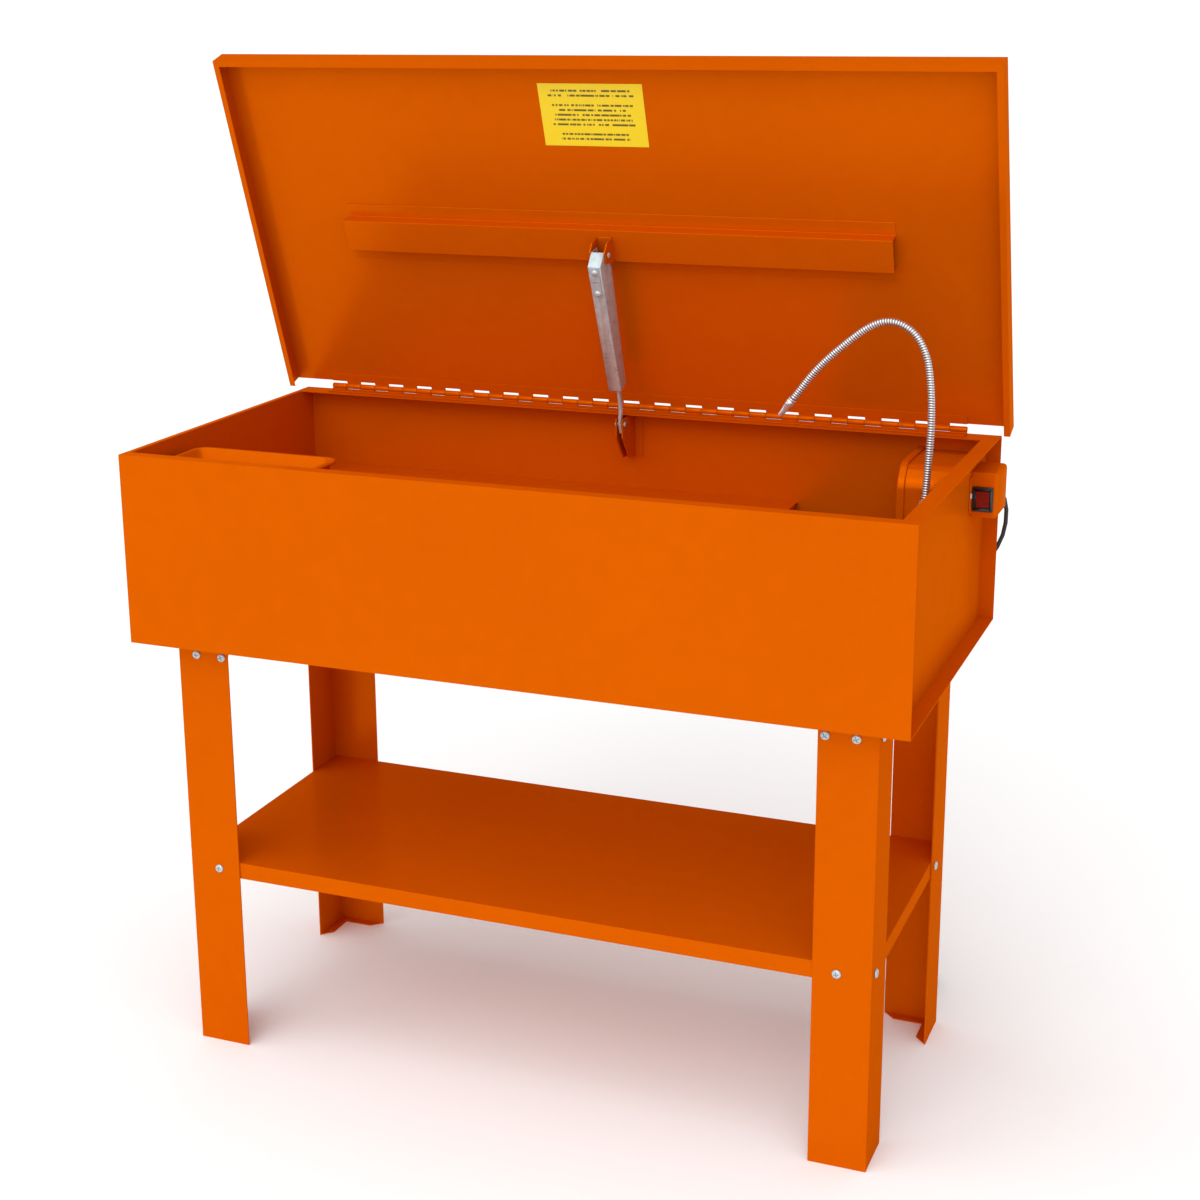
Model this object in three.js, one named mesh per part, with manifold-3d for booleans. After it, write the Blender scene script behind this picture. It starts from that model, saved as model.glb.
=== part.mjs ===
// Parts washer tank: a sheet steel tank on four angle legs, with a hinged lid, a lid stay,
// a pump under a cover, a flexible spout and a switch box with its lead.
// Millimetres, +Z up, X along the tank, the front at -Y, origin on the floor below the middle.
import * as THREE from "three";
import { mergeVertices } from "three/addons/utils/BufferGeometryUtils.js";
import Module from "manifold-3d";

const wasm = await Module();
wasm.setup();

// ---------- driving dimensions ----------
const GAP = 0.3; // between pieces that touch
const SHEET = 1.5; // tank, lid and shelf steel

const TANK_LENGTH = 1150;
const TANK_DEPTH = 550;
const TANK_HEIGHT = 280;
const RIM_Z = 930; // top of the tank rim above the floor
const FRONT_RIM = 20;
const BACK_RIM = 38;
const LEFT_RECESS = 7; // how far an end panel stands inside its flanges
const RIGHT_RECESS = 22;

const LEG_INSET_X = 50; // leg corner inside the tank's end
const LEG_INSET_FRONT = 47;
const LEG_INSET_BACK = 50;
const LEG_WIDTH_X = 82;
const LEG_WIDTH_Y = 80;
const LEG_SHEET = 2;
const FOOT_TAB = 18;
const BRACKET_SHEET = 3;
const BRACKET_HEIGHT = 46;
const BRACKET_MARGIN = 8; // leg edge beyond the bracket

const BOLT_RADIUS = 3;
const BOLT_HOLE_RADIUS = BOLT_RADIUS + 0.4;
const BOLT_HEAD_RADIUS = 6.3;
const BOLT_HEAD_HEIGHT = 3.4;
const NUT_RADIUS = 5.8;
const NUT_HEIGHT = 5;
const TOP_BOLT_DROP = 24; // below the tank floor
const BOLT_FROM_CORNER_X = [30, 72];
const BOLT_FROM_CORNER_Y = [21, 61];
const SHELF_BOLT_FROM_CORNER = 48;

const SHELF_TOP_Z = 302;
const SHELF_FLANGE = 25;

const LID_OVERHANG = 17; // beyond each tank end
const LID_PLATE_DEPTH = 560;
const LID_FLANGE = 28; // inside depth
const LID_LIP = 9;
const LID_OPEN = 70.5; // degrees
const HINGE_INSET = 4.6; // axis in front of the tank's back face
const HINGE_RISE = 6.5; // axis above the rim
const LID_EDGE_FROM_AXIS = 7.85;
const LID_FACE_FROM_AXIS = 3.3;

const HINGE_LENGTH = 1050;
const KNUCKLES = 41;
const KNUCKLE_RADIUS = 4.4;
const HINGE_PIN_RADIUS = 1.8;
const PIN_HOLE_RADIUS = HINGE_PIN_RADIUS + 0.4;
const LEAF_WIDTH = 22;

const STIFFENER_LENGTH = 864;
const STIFFENER_FROM_EDGE = 250; // from the lid's hinge edge to the hat's face
const STIFFENER_FACE = 50;
const STIFFENER_DEPTH = 20;
const STIFFENER_FLANGE = 20;

const LABEL = { width: 160, height: 95, fromEdge: 424, thick: 0.4 };

const UPPER_PIN = { fromEdge: 272, below: 44 }; // from the lid's hinge edge, below its inner face
const LOWER_PIN_Y = 222;
const LOWER_PIN_BELOW_RIM = 13;
const STAY_PIN_RADIUS = 3;
const STAY_WIDTH = 20;
const STAY_SHEET = 1.5;
const STAY_LENGTH = 222;
const STAY_ROD_THICK = 4;
const EAR_SHEET = 2;
const EAR_SIDE_GAP = 0.5;

const WORK_SHELF_BELOW_RIM = 125;
const WORK_SHELF_END_X = 270;
const LEDGE = 15;

const TRAY = { length: 240, width: 150, below: 22, rim: 8, corner: 26, wall: 1.2 };
const TRAY_FROM_LEFT = 12;
const TRAY_FROM_FRONT = 28;

const COVER_WIDTH = 99; // from the right end panel
const COVER_DEPTH = 133; // from the back panel
const COVER_BELOW_RIM = 24;
const COVER_NOSE = 22;
const COVER_MARGIN = 11;
const COVER_STEP = 3;

const PUMP = { fromRight: 45.5, fromCover: 65.8, height: 98, baseHeight: 22, outlet: 18 };
const PUMP_SIDE_ROOM = 11.5; // each side of its base, inside the cover
const PUMP_WAIST = 6; // pump body inside the rim of its base

const SPOUT_FROM_RIGHT = 61.5;
const SPOUT_FROM_COVER = 35.2;
const ELBOW_BELOW_RIM = 92;
const ELBOW_RADIUS = 6.5;
const CUP_ASIDE = 7;
const CUP_RISE = 12;
const CUP_TILT = THREE.MathUtils.degToRad(12);
const FERRULE_END = 14;
const NOZZLE_LENGTH = 32;
const CABLE_RADIUS = 3;
const SPOUT_RADIUS = 5.5;
const SPOUT_BALL = 7;

const BOX = { width: 38, depth: 70, height: 66, flange: 18, fromBack: 103, belowRim: 99 };
const BEZEL = { width: 30, height: 36, thick: 3, bodyWidth: 26, bodyHeight: 32, bodyDepth: 18 };
const BEZEL_RISE = 27; // above the foot of the switch box
const ROCKER = { width: 19, height: 25, depth: 8 };

const DRAIN = { fromRight: 175, fromFront: 155, radius: 12, headRadius: 17, head: 12, stub: 8 };

const CORD_RADIUS = 3.2;
const RELIEF = { aside: 26.7, rise: 12, length: 22 };
const COIL = { x: 462, y: 322, outer: 38.6, inner: 25.4, height: 13 };
const PLUG = { aside: 16.8, tail: -24 };

// ---------- derived places ----------
const v3 = (x, y, z) => new THREE.Vector3(x, y, z);

const HALF = TANK_LENGTH / 2;
const BACK = TANK_DEPTH / 2;
const FRONT = -BACK;
const FLOOR_Z = RIM_Z - TANK_HEIGHT;
const LEFT_WALL = -HALF + LEFT_RECESS + SHEET; // inner faces of the end panels
const RIGHT_FACE = HALF - RIGHT_RECESS; // outer face of the right end panel
const RIGHT_WALL = RIGHT_FACE - SHEET;
const LID_HALF = HALF + LID_OVERHANG;
const HINGE_Y = BACK - HINGE_INSET;
const HINGE_Z = RIM_Z + HINGE_RISE;
const LOWER_PIN_Z = RIM_Z - LOWER_PIN_BELOW_RIM;
const WORK_SHELF_Z = RIM_Z - WORK_SHELF_BELOW_RIM;
const SHELF_BOLT_Z = SHELF_TOP_Z - SHELF_FLANGE / 2;
const TOP_BOLT_Z = FLOOR_Z - TOP_BOLT_DROP;
const DRAIN_X = HALF - DRAIN.fromRight;
const DRAIN_Y = FRONT + DRAIN.fromFront;
const COVER_X0 = RIGHT_WALL - GAP - COVER_WIDTH;
const COVER_Y0 = BACK - SHEET - GAP - COVER_DEPTH;
const COVER_TOP = RIM_Z - COVER_BELOW_RIM;
const COVER_FOOT = FLOOR_Z + SHEET + GAP;
const PUMP_X = RIGHT_WALL - PUMP.fromRight;
const PUMP_Y = COVER_Y0 + PUMP.fromCover;
const PUMP_BASE_RADIUS = COVER_WIDTH / 2 - PUMP_SIDE_ROOM;
const PUMP_RADIUS = PUMP_BASE_RADIUS - PUMP_WAIST;
const PUMP_TOP = COVER_FOOT + GAP + PUMP.baseHeight + PUMP.height;
const SPOUT_X = RIGHT_WALL - SPOUT_FROM_RIGHT;
const SPOUT_Y = COVER_Y0 - SPOUT_FROM_COVER;
const ELBOW_Z = RIM_Z - ELBOW_BELOW_RIM;
const CUP = v3(SPOUT_X + CUP_ASIDE, SPOUT_Y, ELBOW_Z + CUP_RISE);
const CUP_AXIS = v3(Math.sin(CUP_TILT), 0, Math.cos(CUP_TILT));
const BOX_X0 = RIGHT_FACE + GAP;
const BOX_Y = BACK - BOX.fromBack;
const BOX_Z = RIM_Z - BOX.belowRim;
const BEZEL_X = BOX_X0 + SHEET + GAP + BEZEL.width / 2;
const BEZEL_Z = BOX_Z + BEZEL_RISE;
const CABLE_Y = BOX_Y + BOX.depth / 2;
const CABLE_Z = ELBOW_Z + CUP_RISE;
const CORD_EXIT = v3(BOX_X0 + RELIEF.aside, BOX_Y + BOX.depth + RELIEF.length, BOX_Z + RELIEF.rise);

// ---------- materials ----------
const orange = () => new THREE.MeshStandardMaterial({ color: 0xe06a00, roughness: 0.38, metalness: 0 });
const zinc = () => new THREE.MeshStandardMaterial({ color: 0xb4b6b8, roughness: 0.35, metalness: 1 });
const chrome = () => new THREE.MeshStandardMaterial({ color: 0xd8dadc, roughness: 0.15, metalness: 1 });
const black = () => new THREE.MeshStandardMaterial({ color: 0x141414, roughness: 0.5, metalness: 0 });
const rubber = () => new THREE.MeshStandardMaterial({ color: 0x101010, roughness: 0.8, metalness: 0 });
const red = () => new THREE.MeshStandardMaterial({ color: 0x8c0a06, roughness: 0.3, metalness: 0 });
const yellow = () => new THREE.MeshStandardMaterial({ color: 0xe8c800, roughness: 0.5, metalness: 0 });

// ---------- solids ----------

function block(x0, x1, y0, y1, z0, z1) {
  const geometry = new THREE.BoxGeometry(x1 - x0, y1 - y0, z1 - z0);
  return geometry.translate((x0 + x1) / 2, (y0 + y1) / 2, (z0 + z1) / 2);
}

function outline(points) {
  return new THREE.Shape(points.map(([u, v]) => new THREE.Vector2(u, v)));
}

function extrude(shape, depth, curveSegments = 6) {
  return new THREE.ExtrudeGeometry(shape, { depth, bevelEnabled: false, curveSegments });
}

// The shape's (u, v) are (y, z) and it runs along X.
function alongX(shape, x0, x1, curveSegments) {
  const turn = new THREE.Matrix4().makeBasis(v3(0, 1, 0), v3(0, 0, 1), v3(1, 0, 0));
  return extrude(shape, x1 - x0, curveSegments).applyMatrix4(turn).translate(x0, 0, 0);
}

// The shape's (u, v) are (x, y) and it runs along Z.
function alongZ(shape, z0, z1, curveSegments) {
  return extrude(shape, z1 - z0, curveSegments).translate(0, 0, z0);
}

function cylinder(radius, length, direction, centre, segments = 12, endRadius = radius) {
  const geometry = new THREE.CylinderGeometry(endRadius, radius, length, segments);
  const turn = new THREE.Quaternion().setFromUnitVectors(v3(0, 1, 0), direction.clone().normalize());
  return geometry.applyQuaternion(turn).translate(centre.x, centre.y, centre.z);
}

// A turned solid on the Z axis: [radius, height] pairs from the bottom on the axis to the top on it.
function turned(profile, segments = 16) {
  const points = profile.map(([r, z]) => new THREE.Vector2(r, z));
  return new THREE.LatheGeometry(points, segments).rotateX(Math.PI / 2);
}

function solid(geometry) {
  const bare = new THREE.BufferGeometry();
  bare.setAttribute("position", geometry.getAttribute("position"));
  if (geometry.index) bare.setIndex(geometry.index);
  const merged = mergeVertices(bare, 1e-4);
  const triVerts = new Uint32Array(merged.index.array);
  const vertProperties = new Float32Array(merged.attributes.position.array);
  return new wasm.Manifold(new wasm.Mesh({ numProp: 3, vertProperties, triVerts }));
}

function geometryOf(body) {
  const mesh = body.getMesh();
  const geometry = new THREE.BufferGeometry();
  geometry.setAttribute("position", new THREE.BufferAttribute(new Float32Array(mesh.vertProperties), 3));
  geometry.setIndex(new THREE.BufferAttribute(new Uint32Array(mesh.triVerts), 1));
  geometry.computeVertexNormals();
  return geometry;
}

function join(...pieces) {
  return geometryOf(pieces.map(solid).reduce((sum, piece) => sum.add(piece)));
}

function cut(base, tools) {
  return geometryOf(tools.map(solid).reduce((rest, tool) => rest.subtract(tool), solid(base)));
}

function tube(points, radius, steps, sides) {
  const section = new THREE.Shape();
  section.absarc(0, 0, radius, 0, 2 * Math.PI, false);
  const extrudePath = new THREE.CatmullRomCurve3(points, false, "centripetal");
  const curveSegments = sides / 2;
  return new THREE.ExtrudeGeometry(section, { steps, curveSegments, bevelEnabled: false, extrudePath });
}

function add(group, name, geometry, material) {
  const mesh = new THREE.Mesh(geometry, material);
  mesh.name = name;
  group.add(mesh);
  return mesh;
}

const washer = new THREE.Group();

// ---------- tank shell ----------
function tankShell() {
  const frontRimEdge = FRONT + FRONT_RIM;
  const backRimEdge = BACK - BACK_RIM;
  const rimUnder = RIM_Z - SHEET;
  const front = join(
    block(-HALF, HALF, FRONT, FRONT + SHEET, FLOOR_Z, RIM_Z),
    block(-HALF, HALF, FRONT, frontRimEdge, rimUnder, RIM_Z),
  );
  const back = join(
    block(-HALF, HALF, BACK - SHEET, BACK, FLOOR_Z, RIM_Z),
    block(-HALF, HALF, backRimEdge, BACK, rimUnder, RIM_Z),
  );
  add(washer, "tank_front_panel", front, orange());
  add(washer, "tank_back_panel", back, orange());

  const y0 = FRONT + SHEET + GAP;
  const y1 = BACK - SHEET - GAP;
  const rims = [
    block(-HALF - 1, HALF + 1, y0 - 1, frontRimEdge + GAP, rimUnder - GAP, RIM_Z + 1),
    block(-HALF - 1, HALF + 1, backRimEdge - GAP, y1 + 1, rimUnder - GAP, RIM_Z + 1),
  ];
  const left = join(
    block(LEFT_WALL - SHEET, LEFT_WALL, y0, y1, FLOOR_Z, RIM_Z),
    block(-HALF, LEFT_WALL, y0, y1, rimUnder, RIM_Z),
    block(-HALF, LEFT_WALL, y0, y1, FLOOR_Z, FLOOR_Z + SHEET),
  );
  const right = join(
    block(RIGHT_WALL, RIGHT_FACE, y0, y1, FLOOR_Z, RIM_Z),
    block(RIGHT_WALL, HALF, y0, y1, rimUnder, RIM_Z),
    block(RIGHT_WALL, HALF, y0, y1, FLOOR_Z, FLOOR_Z + SHEET),
  );
  const cableHole = cylinder(CABLE_RADIUS + 1.5, 10, v3(1, 0, 0), v3(RIGHT_WALL, CABLE_Y, CABLE_Z), 10);
  add(washer, "left_end_panel", cut(left, rims), orange());
  add(washer, "right_end_panel", cut(right, [...rims, cableHole]), orange());

  const floor = block(LEFT_WALL + GAP, RIGHT_WALL - GAP, y0, y1, FLOOR_Z, FLOOR_Z + SHEET);
  const drainHole = cylinder(DRAIN.radius + 0.5, 10, v3(0, 0, 1), v3(DRAIN_X, DRAIN_Y, FLOOR_Z), 16);
  add(washer, "tank_floor", cut(floor, [drainHole]), orange());
}

// Drain plug: a threaded stub through the floor with a hexagon head below it.
function drainPlug() {
  const underside = -GAP;
  const plug = join(
    cylinder(DRAIN.radius, DRAIN.stub + 2, v3(0, 0, 1), v3(0, 0, underside + DRAIN.stub / 2 - 1), 16),
    cylinder(DRAIN.headRadius, DRAIN.head, v3(0, 0, 1), v3(0, 0, underside - DRAIN.head / 2), 6),
  );
  add(washer, "drain_plug", plug, zinc()).position.set(DRAIN_X, DRAIN_Y, FLOOR_Z);
}

// ---------- legs, their brackets and the bottom shelf ----------
const CORNERS = [
  { name: "front_left", sx: -1, sy: -1 },
  { name: "front_right", sx: 1, sy: -1 },
  { name: "back_left", sx: -1, sy: 1 },
  { name: "back_right", sx: 1, sy: 1 },
];

function legCorner({ sx, sy }) {
  const insetY = sy < 0 ? LEG_INSET_FRONT : LEG_INSET_BACK;
  return v3(sx * (HALF - LEG_INSET_X), sy * (BACK - insetY), 0);
}

// An L section with its outer corner at the origin and its flanges running inwards.
function angleSection(corner, offset, widthX, widthY, sheet) {
  const ux = -corner.sx;
  const uy = -corner.sy;
  const points = [
    [offset, offset],
    [widthX, offset],
    [widthX, offset + sheet],
    [offset + sheet, offset + sheet],
    [offset + sheet, widthY],
    [offset, widthY],
  ];
  return outline(points.map(([u, v]) => [ux * u, uy * v]));
}

// Bolts of one leg, relative to its corner: those through the X flange face Y, the others face X.
function legBolts(corner) {
  const ux = -corner.sx;
  const uy = -corner.sy;
  const shelfY = corner.sy < 0 ? BOLT_FROM_CORNER_Y[0] : BOLT_FROM_CORNER_Y[1];
  return [
    ...BOLT_FROM_CORNER_X.map((u) => ({ at: v3(ux * u, 0, TOP_BOLT_Z), out: v3(0, corner.sy, 0) })),
    ...BOLT_FROM_CORNER_Y.map((v) => ({ at: v3(0, uy * v, TOP_BOLT_Z), out: v3(corner.sx, 0, 0) })),
    { at: v3(ux * SHELF_BOLT_FROM_CORNER, 0, SHELF_BOLT_Z), out: v3(0, corner.sy, 0) },
    { at: v3(0, uy * shelfY, SHELF_BOLT_Z), out: v3(corner.sx, 0, 0) },
  ];
}

function boltHole({ at, out }) {
  return cylinder(BOLT_HOLE_RADIUS, 20, out, at, 8);
}

function footTabs(corner) {
  const ux = -corner.sx;
  const uy = -corner.sy;
  const inner = FOOT_TAB;
  const tabX = [[0, 0], [LEG_WIDTH_X, 0], [LEG_WIDTH_X - inner, inner], [inner, inner]];
  const tabY = [[0, 0], [inner, inner], [inner, LEG_WIDTH_Y - inner], [0, LEG_WIDTH_Y]];
  return [tabX, tabY].map((tab) => alongZ(outline(tab.map(([u, v]) => [ux * u, uy * v])), 0, LEG_SHEET));
}

function legs() {
  for (const corner of CORNERS) {
    const holes = legBolts(corner).map(boltHole);
    const section = angleSection(corner, 0, LEG_WIDTH_X, LEG_WIDTH_Y, LEG_SHEET);
    const leg = join(alongZ(section, 0, FLOOR_Z - GAP), ...footTabs(corner));
    add(washer, "leg_" + corner.name, cut(leg, holes), orange()).position.copy(legCorner(corner));
  }
}

function legBrackets() {
  const top = FLOOR_Z - GAP;
  for (const corner of CORNERS) {
    const inside = LEG_SHEET + GAP;
    const widthX = LEG_WIDTH_X - BRACKET_MARGIN / 2;
    const widthY = LEG_WIDTH_Y - BRACKET_MARGIN / 2;
    const section = angleSection(corner, inside, widthX, widthY, BRACKET_SHEET);
    const ux = -corner.sx;
    const uy = -corner.sy;
    const plate = outline([
      [ux * inside, uy * inside],
      [ux * widthX, uy * inside],
      [ux * inside, uy * widthY],
    ]);
    const bracket = join(alongZ(section, top - BRACKET_HEIGHT, top), alongZ(plate, top - BRACKET_SHEET, top));
    const holes = legBolts(corner).slice(0, 4).map(boltHole);
    add(washer, "leg_bracket_" + corner.name, cut(bracket, holes), orange()).position.copy(legCorner(corner));
  }
}

// A pan head bolt with its nut run up to the far side of what it clamps.
function boltWithNut(grip) {
  const nut = grip + 2 * GAP;
  return turned([
    [0, -nut - NUT_HEIGHT - 2],
    [BOLT_RADIUS, -nut - NUT_HEIGHT - 2],
    [BOLT_RADIUS, -nut - NUT_HEIGHT],
    [NUT_RADIUS, -nut - NUT_HEIGHT],
    [NUT_RADIUS, -nut],
    [BOLT_RADIUS, -nut],
    [BOLT_RADIUS, GAP],
    [BOLT_HEAD_RADIUS, GAP],
    [BOLT_HEAD_RADIUS * 0.8, GAP + BOLT_HEAD_HEIGHT * 0.8],
    [BOLT_HEAD_RADIUS * 0.4, GAP + BOLT_HEAD_HEIGHT],
    [0, GAP + BOLT_HEAD_HEIGHT],
  ], 10);
}

// Two bolts of each leg: an upper one into the bracket and the lower one into the shelf.
function legBoltNodes() {
  const bracketGrip = LEG_SHEET + GAP + BRACKET_SHEET;
  const shelfGrip = LEG_SHEET + GAP + SHEET;
  for (const corner of CORNERS) {
    const bolts = legBolts(corner);
    const chosen = [
      { label: "bracket_bolt_", bolt: bolts[0], grip: bracketGrip },
      { label: "shelf_bolt_", bolt: bolts[4], grip: shelfGrip },
    ];
    for (const { label, bolt, grip } of chosen) {
      const mesh = add(washer, label + corner.name, boltWithNut(grip), zinc());
      mesh.position.copy(legCorner(corner).add(bolt.at));
      mesh.quaternion.setFromUnitVectors(v3(0, 0, 1), bolt.out);
    }
  }
}

function bottomShelf() {
  const inside = LEG_SHEET + GAP;
  const x = HALF - LEG_INSET_X - inside;
  const y0 = FRONT + LEG_INSET_FRONT + inside;
  const y1 = BACK - LEG_INSET_BACK - inside;
  const z0 = SHELF_TOP_Z - SHELF_FLANGE;
  const tray = block(-x, x, y0, y1, z0, SHELF_TOP_Z);
  const hollow = block(-x + SHEET, x - SHEET, y0 + SHEET, y1 - SHEET, z0 - 1, SHELF_TOP_Z - SHEET);
  const holes = CORNERS.flatMap((corner) =>
    legBolts(corner)
      .slice(4)
      .map(({ at, out }) => boltHole({ at: at.clone().add(legCorner(corner)), out })),
  );
  add(washer, "bottom_shelf", cut(tray, [hollow, ...holes]), orange());
}

// ---------- continuous hinge ----------
function knuckle(index) {
  const pitch = HINGE_LENGTH / KNUCKLES;
  const x0 = -HINGE_LENGTH / 2 + index * pitch + GAP / 2;
  const ring = new THREE.Shape();
  ring.absarc(0, 0, KNUCKLE_RADIUS, 0, 2 * Math.PI, false);
  const bore = new THREE.Path();
  bore.absarc(0, 0, PIN_HOLE_RADIUS, 0, 2 * Math.PI, true);
  ring.holes.push(bore);
  return { x0, x1: x0 + pitch - GAP, tube: alongX(ring, x0, x0 + pitch - GAP, 4) };
}

function knuckles(parity) {
  return Array.from({ length: KNUCKLES }, (_, i) => i)
    .filter((i) => i % 2 === parity)
    .map(knuckle);
}

function hinge(lid) {
  const half = HINGE_LENGTH / 2;
  const onRim = GAP - HINGE_RISE;
  const tankKnuckles = knuckles(0);
  const tankLeaf = join(
    block(-half, half, -LEAF_WIDTH, 2.2, onRim, onRim + SHEET),
    ...tankKnuckles.map(({ x0, x1 }) => block(x0, x1, -2.2, 2.2, onRim + 0.5, 0.9 - KNUCKLE_RADIUS)),
    ...tankKnuckles.map((k) => k.tube),
  );
  add(washer, "hinge_leaf_tank", tankLeaf, orange()).position.set(0, HINGE_Y, HINGE_Z);

  const leafTop = LID_FACE_FROM_AXIS - GAP;
  const lidKnuckles = knuckles(1);
  const lidLeaf = join(
    block(-half, half, -LEAF_WIDTH, -LID_EDGE_FROM_AXIS, leafTop - SHEET, leafTop),
    ...lidKnuckles.map(({ x0, x1 }) => (
      block(x0, x1, -LID_EDGE_FROM_AXIS - 1, -2.9, leafTop - SHEET, leafTop)
    )),
    ...lidKnuckles.map((k) => k.tube),
  );
  add(lid, "hinge_leaf_lid", lidLeaf, orange());

  const pin = cylinder(HINGE_PIN_RADIUS, HINGE_LENGTH - 2, v3(1, 0, 0), v3(0, 0, 0), 8);
  add(washer, "hinge_pin", pin, zinc()).position.set(0, HINGE_Y, HINGE_Z);
}

// ---------- lid, modelled closed about the hinge axis and turned open ----------
function lidPanel(lid) {
  const inner = LID_FACE_FROM_AXIS;
  const top = inner + SHEET;
  const low = inner - LID_FLANGE;
  const y1 = -LID_EDGE_FROM_AXIS;
  const y0 = y1 - LID_PLATE_DEPTH;
  const x = LID_HALF;
  const panel = join(
    block(-x, x, y0, y1, inner, top),
    block(-x, x, y0, y0 + SHEET, low, top),
    block(-x, x, y0, y0 + LID_LIP, low, low + SHEET),
    block(-x, -x + SHEET, y0, y1, low, top),
    block(-x, -x + LID_LIP, y0, y1, low, low + SHEET),
    block(x - SHEET, x, y0, y1, low, top),
    block(x - LID_LIP, x, y0, y1, low, low + SHEET),
  );
  add(lid, "lid_panel", panel, orange());
}

function lidStiffener(lid) {
  const face = LID_FACE_FROM_AXIS - STIFFENER_DEPTH;
  const foot = LID_FACE_FROM_AXIS - GAP;
  const near = -LID_EDGE_FROM_AXIS - STIFFENER_FROM_EDGE;
  const far = near - STIFFENER_FACE;
  const half = STIFFENER_LENGTH / 2;
  const hat = outline([
    [near + STIFFENER_FLANGE, foot],
    [near + STIFFENER_FLANGE, foot - SHEET],
    [near, foot - SHEET],
    [near, face],
    [far, face],
    [far, foot - SHEET],
    [far - STIFFENER_FLANGE, foot - SHEET],
    [far - STIFFENER_FLANGE, foot],
    [far + SHEET, foot],
    [far + SHEET, face + SHEET],
    [near - SHEET, face + SHEET],
    [near - SHEET, foot],
  ]);
  add(lid, "lid_stiffener", alongX(hat, -half, half), orange());
}

function label(lid) {
  const y1 = -LID_EDGE_FROM_AXIS - LABEL.fromEdge;
  const z1 = LID_FACE_FROM_AXIS - GAP;
  const w = LABEL.width / 2;
  add(lid, "label_plate", block(-w, w, y1 - LABEL.height, y1, z1 - LABEL.thick, z1), yellow());
}

// ---------- lid stay ----------
const upperPinLocal = v3(
  0,
  -LID_EDGE_FROM_AXIS - UPPER_PIN.fromEdge,
  LID_FACE_FROM_AXIS - UPPER_PIN.below,
);
const lidTurn = -THREE.MathUtils.degToRad(LID_OPEN);
const upperPin = upperPinLocal
  .clone()
  .applyAxisAngle(v3(1, 0, 0), lidTurn)
  .add(v3(0, HINGE_Y, HINGE_Z));
const lowerPin = v3(0, LOWER_PIN_Y, LOWER_PIN_Z);
const stayLine = lowerPin.clone().sub(upperPin);
const stayTurn = Math.atan2(stayLine.y, -stayLine.z);
const pinDistance = stayLine.length();

function clevisPin(halfLength) {
  const head = STAY_PIN_RADIUS + 1.4;
  return turned([
    [0, -halfLength - 2],
    [head, -halfLength - 2],
    [head, -halfLength],
    [STAY_PIN_RADIUS, -halfLength],
    [STAY_PIN_RADIUS, halfLength],
    [head, halfLength],
    [head, halfLength + 2],
    [0, halfLength + 2],
  ], 12).rotateY(Math.PI / 2);
}

function upperClevis(lid) {
  const innerX = STAY_WIDTH / 2 + EAR_SIDE_GAP;
  const outerX = innerX + EAR_SHEET;
  const face = LID_FACE_FROM_AXIS - STIFFENER_DEPTH - GAP;
  const y = upperPinLocal.y;
  const z = upperPinLocal.z;
  const ear = outline([
    [y + 18, face],
    [y + 18, face - 12],
    [y + 9, z - 11],
    [y - 9, z - 11],
    [y - 18, z + 2],
    [y - 18, face],
  ]);
  const bracket = join(
    block(-outerX, outerX, y - 18, y + 18, face - EAR_SHEET, face),
    alongX(ear, -outerX, -innerX),
    alongX(ear, innerX, outerX),
  );
  const hole = cylinder(STAY_PIN_RADIUS + GAP, 60, v3(1, 0, 0), upperPinLocal, 12);
  add(lid, "stay_bracket_upper", cut(bracket, [hole]), orange());
  add(lid, "stay_pin_upper", clevisPin(outerX + GAP), zinc()).position.copy(upperPinLocal);
}

function lowerClevis() {
  const innerX = STAY_ROD_THICK / 2 + 2;
  const outerX = innerX + EAR_SHEET;
  const wall = BACK - SHEET - GAP;
  const y = LOWER_PIN_Y;
  const z = LOWER_PIN_Z;
  const ear = outline([
    [wall, z + 9],
    [y - 7, z + 9],
    [y - 7, z - 20],
    [y + 24, z - 58],
    [wall, z - 58],
  ]);
  const bracket = join(
    block(-outerX - 12, outerX + 12, wall - EAR_SHEET, wall, z - 58, z + 9),
    alongX(ear, -outerX, -innerX),
    alongX(ear, innerX, outerX),
  );
  const hole = cylinder(STAY_PIN_RADIUS + GAP, 60, v3(1, 0, 0), lowerPin, 12);
  add(washer, "stay_bracket_lower", cut(bracket, [hole]), orange());
  add(washer, "stay_pin_lower", clevisPin(outerX + GAP), zinc()).position.copy(lowerPin);
}

// Stay outlines use t forwards of the line between the pins and s down that line.
const stayPoint = (t, s) => [-t, -s];
const HEAD_FRONT = 28.6;
const TAIL_FRONT = 6;
const FACE_TOP_S = 7;
const faceSlope = (HEAD_FRONT - TAIL_FRONT) / (STAY_LENGTH - FACE_TOP_S);
const faceAt = (s) => HEAD_FRONT - faceSlope * (s - FACE_TOP_S);
const RIVET_S = [15, 50];
const RIVET_RADIUS = 2.5;

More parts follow.
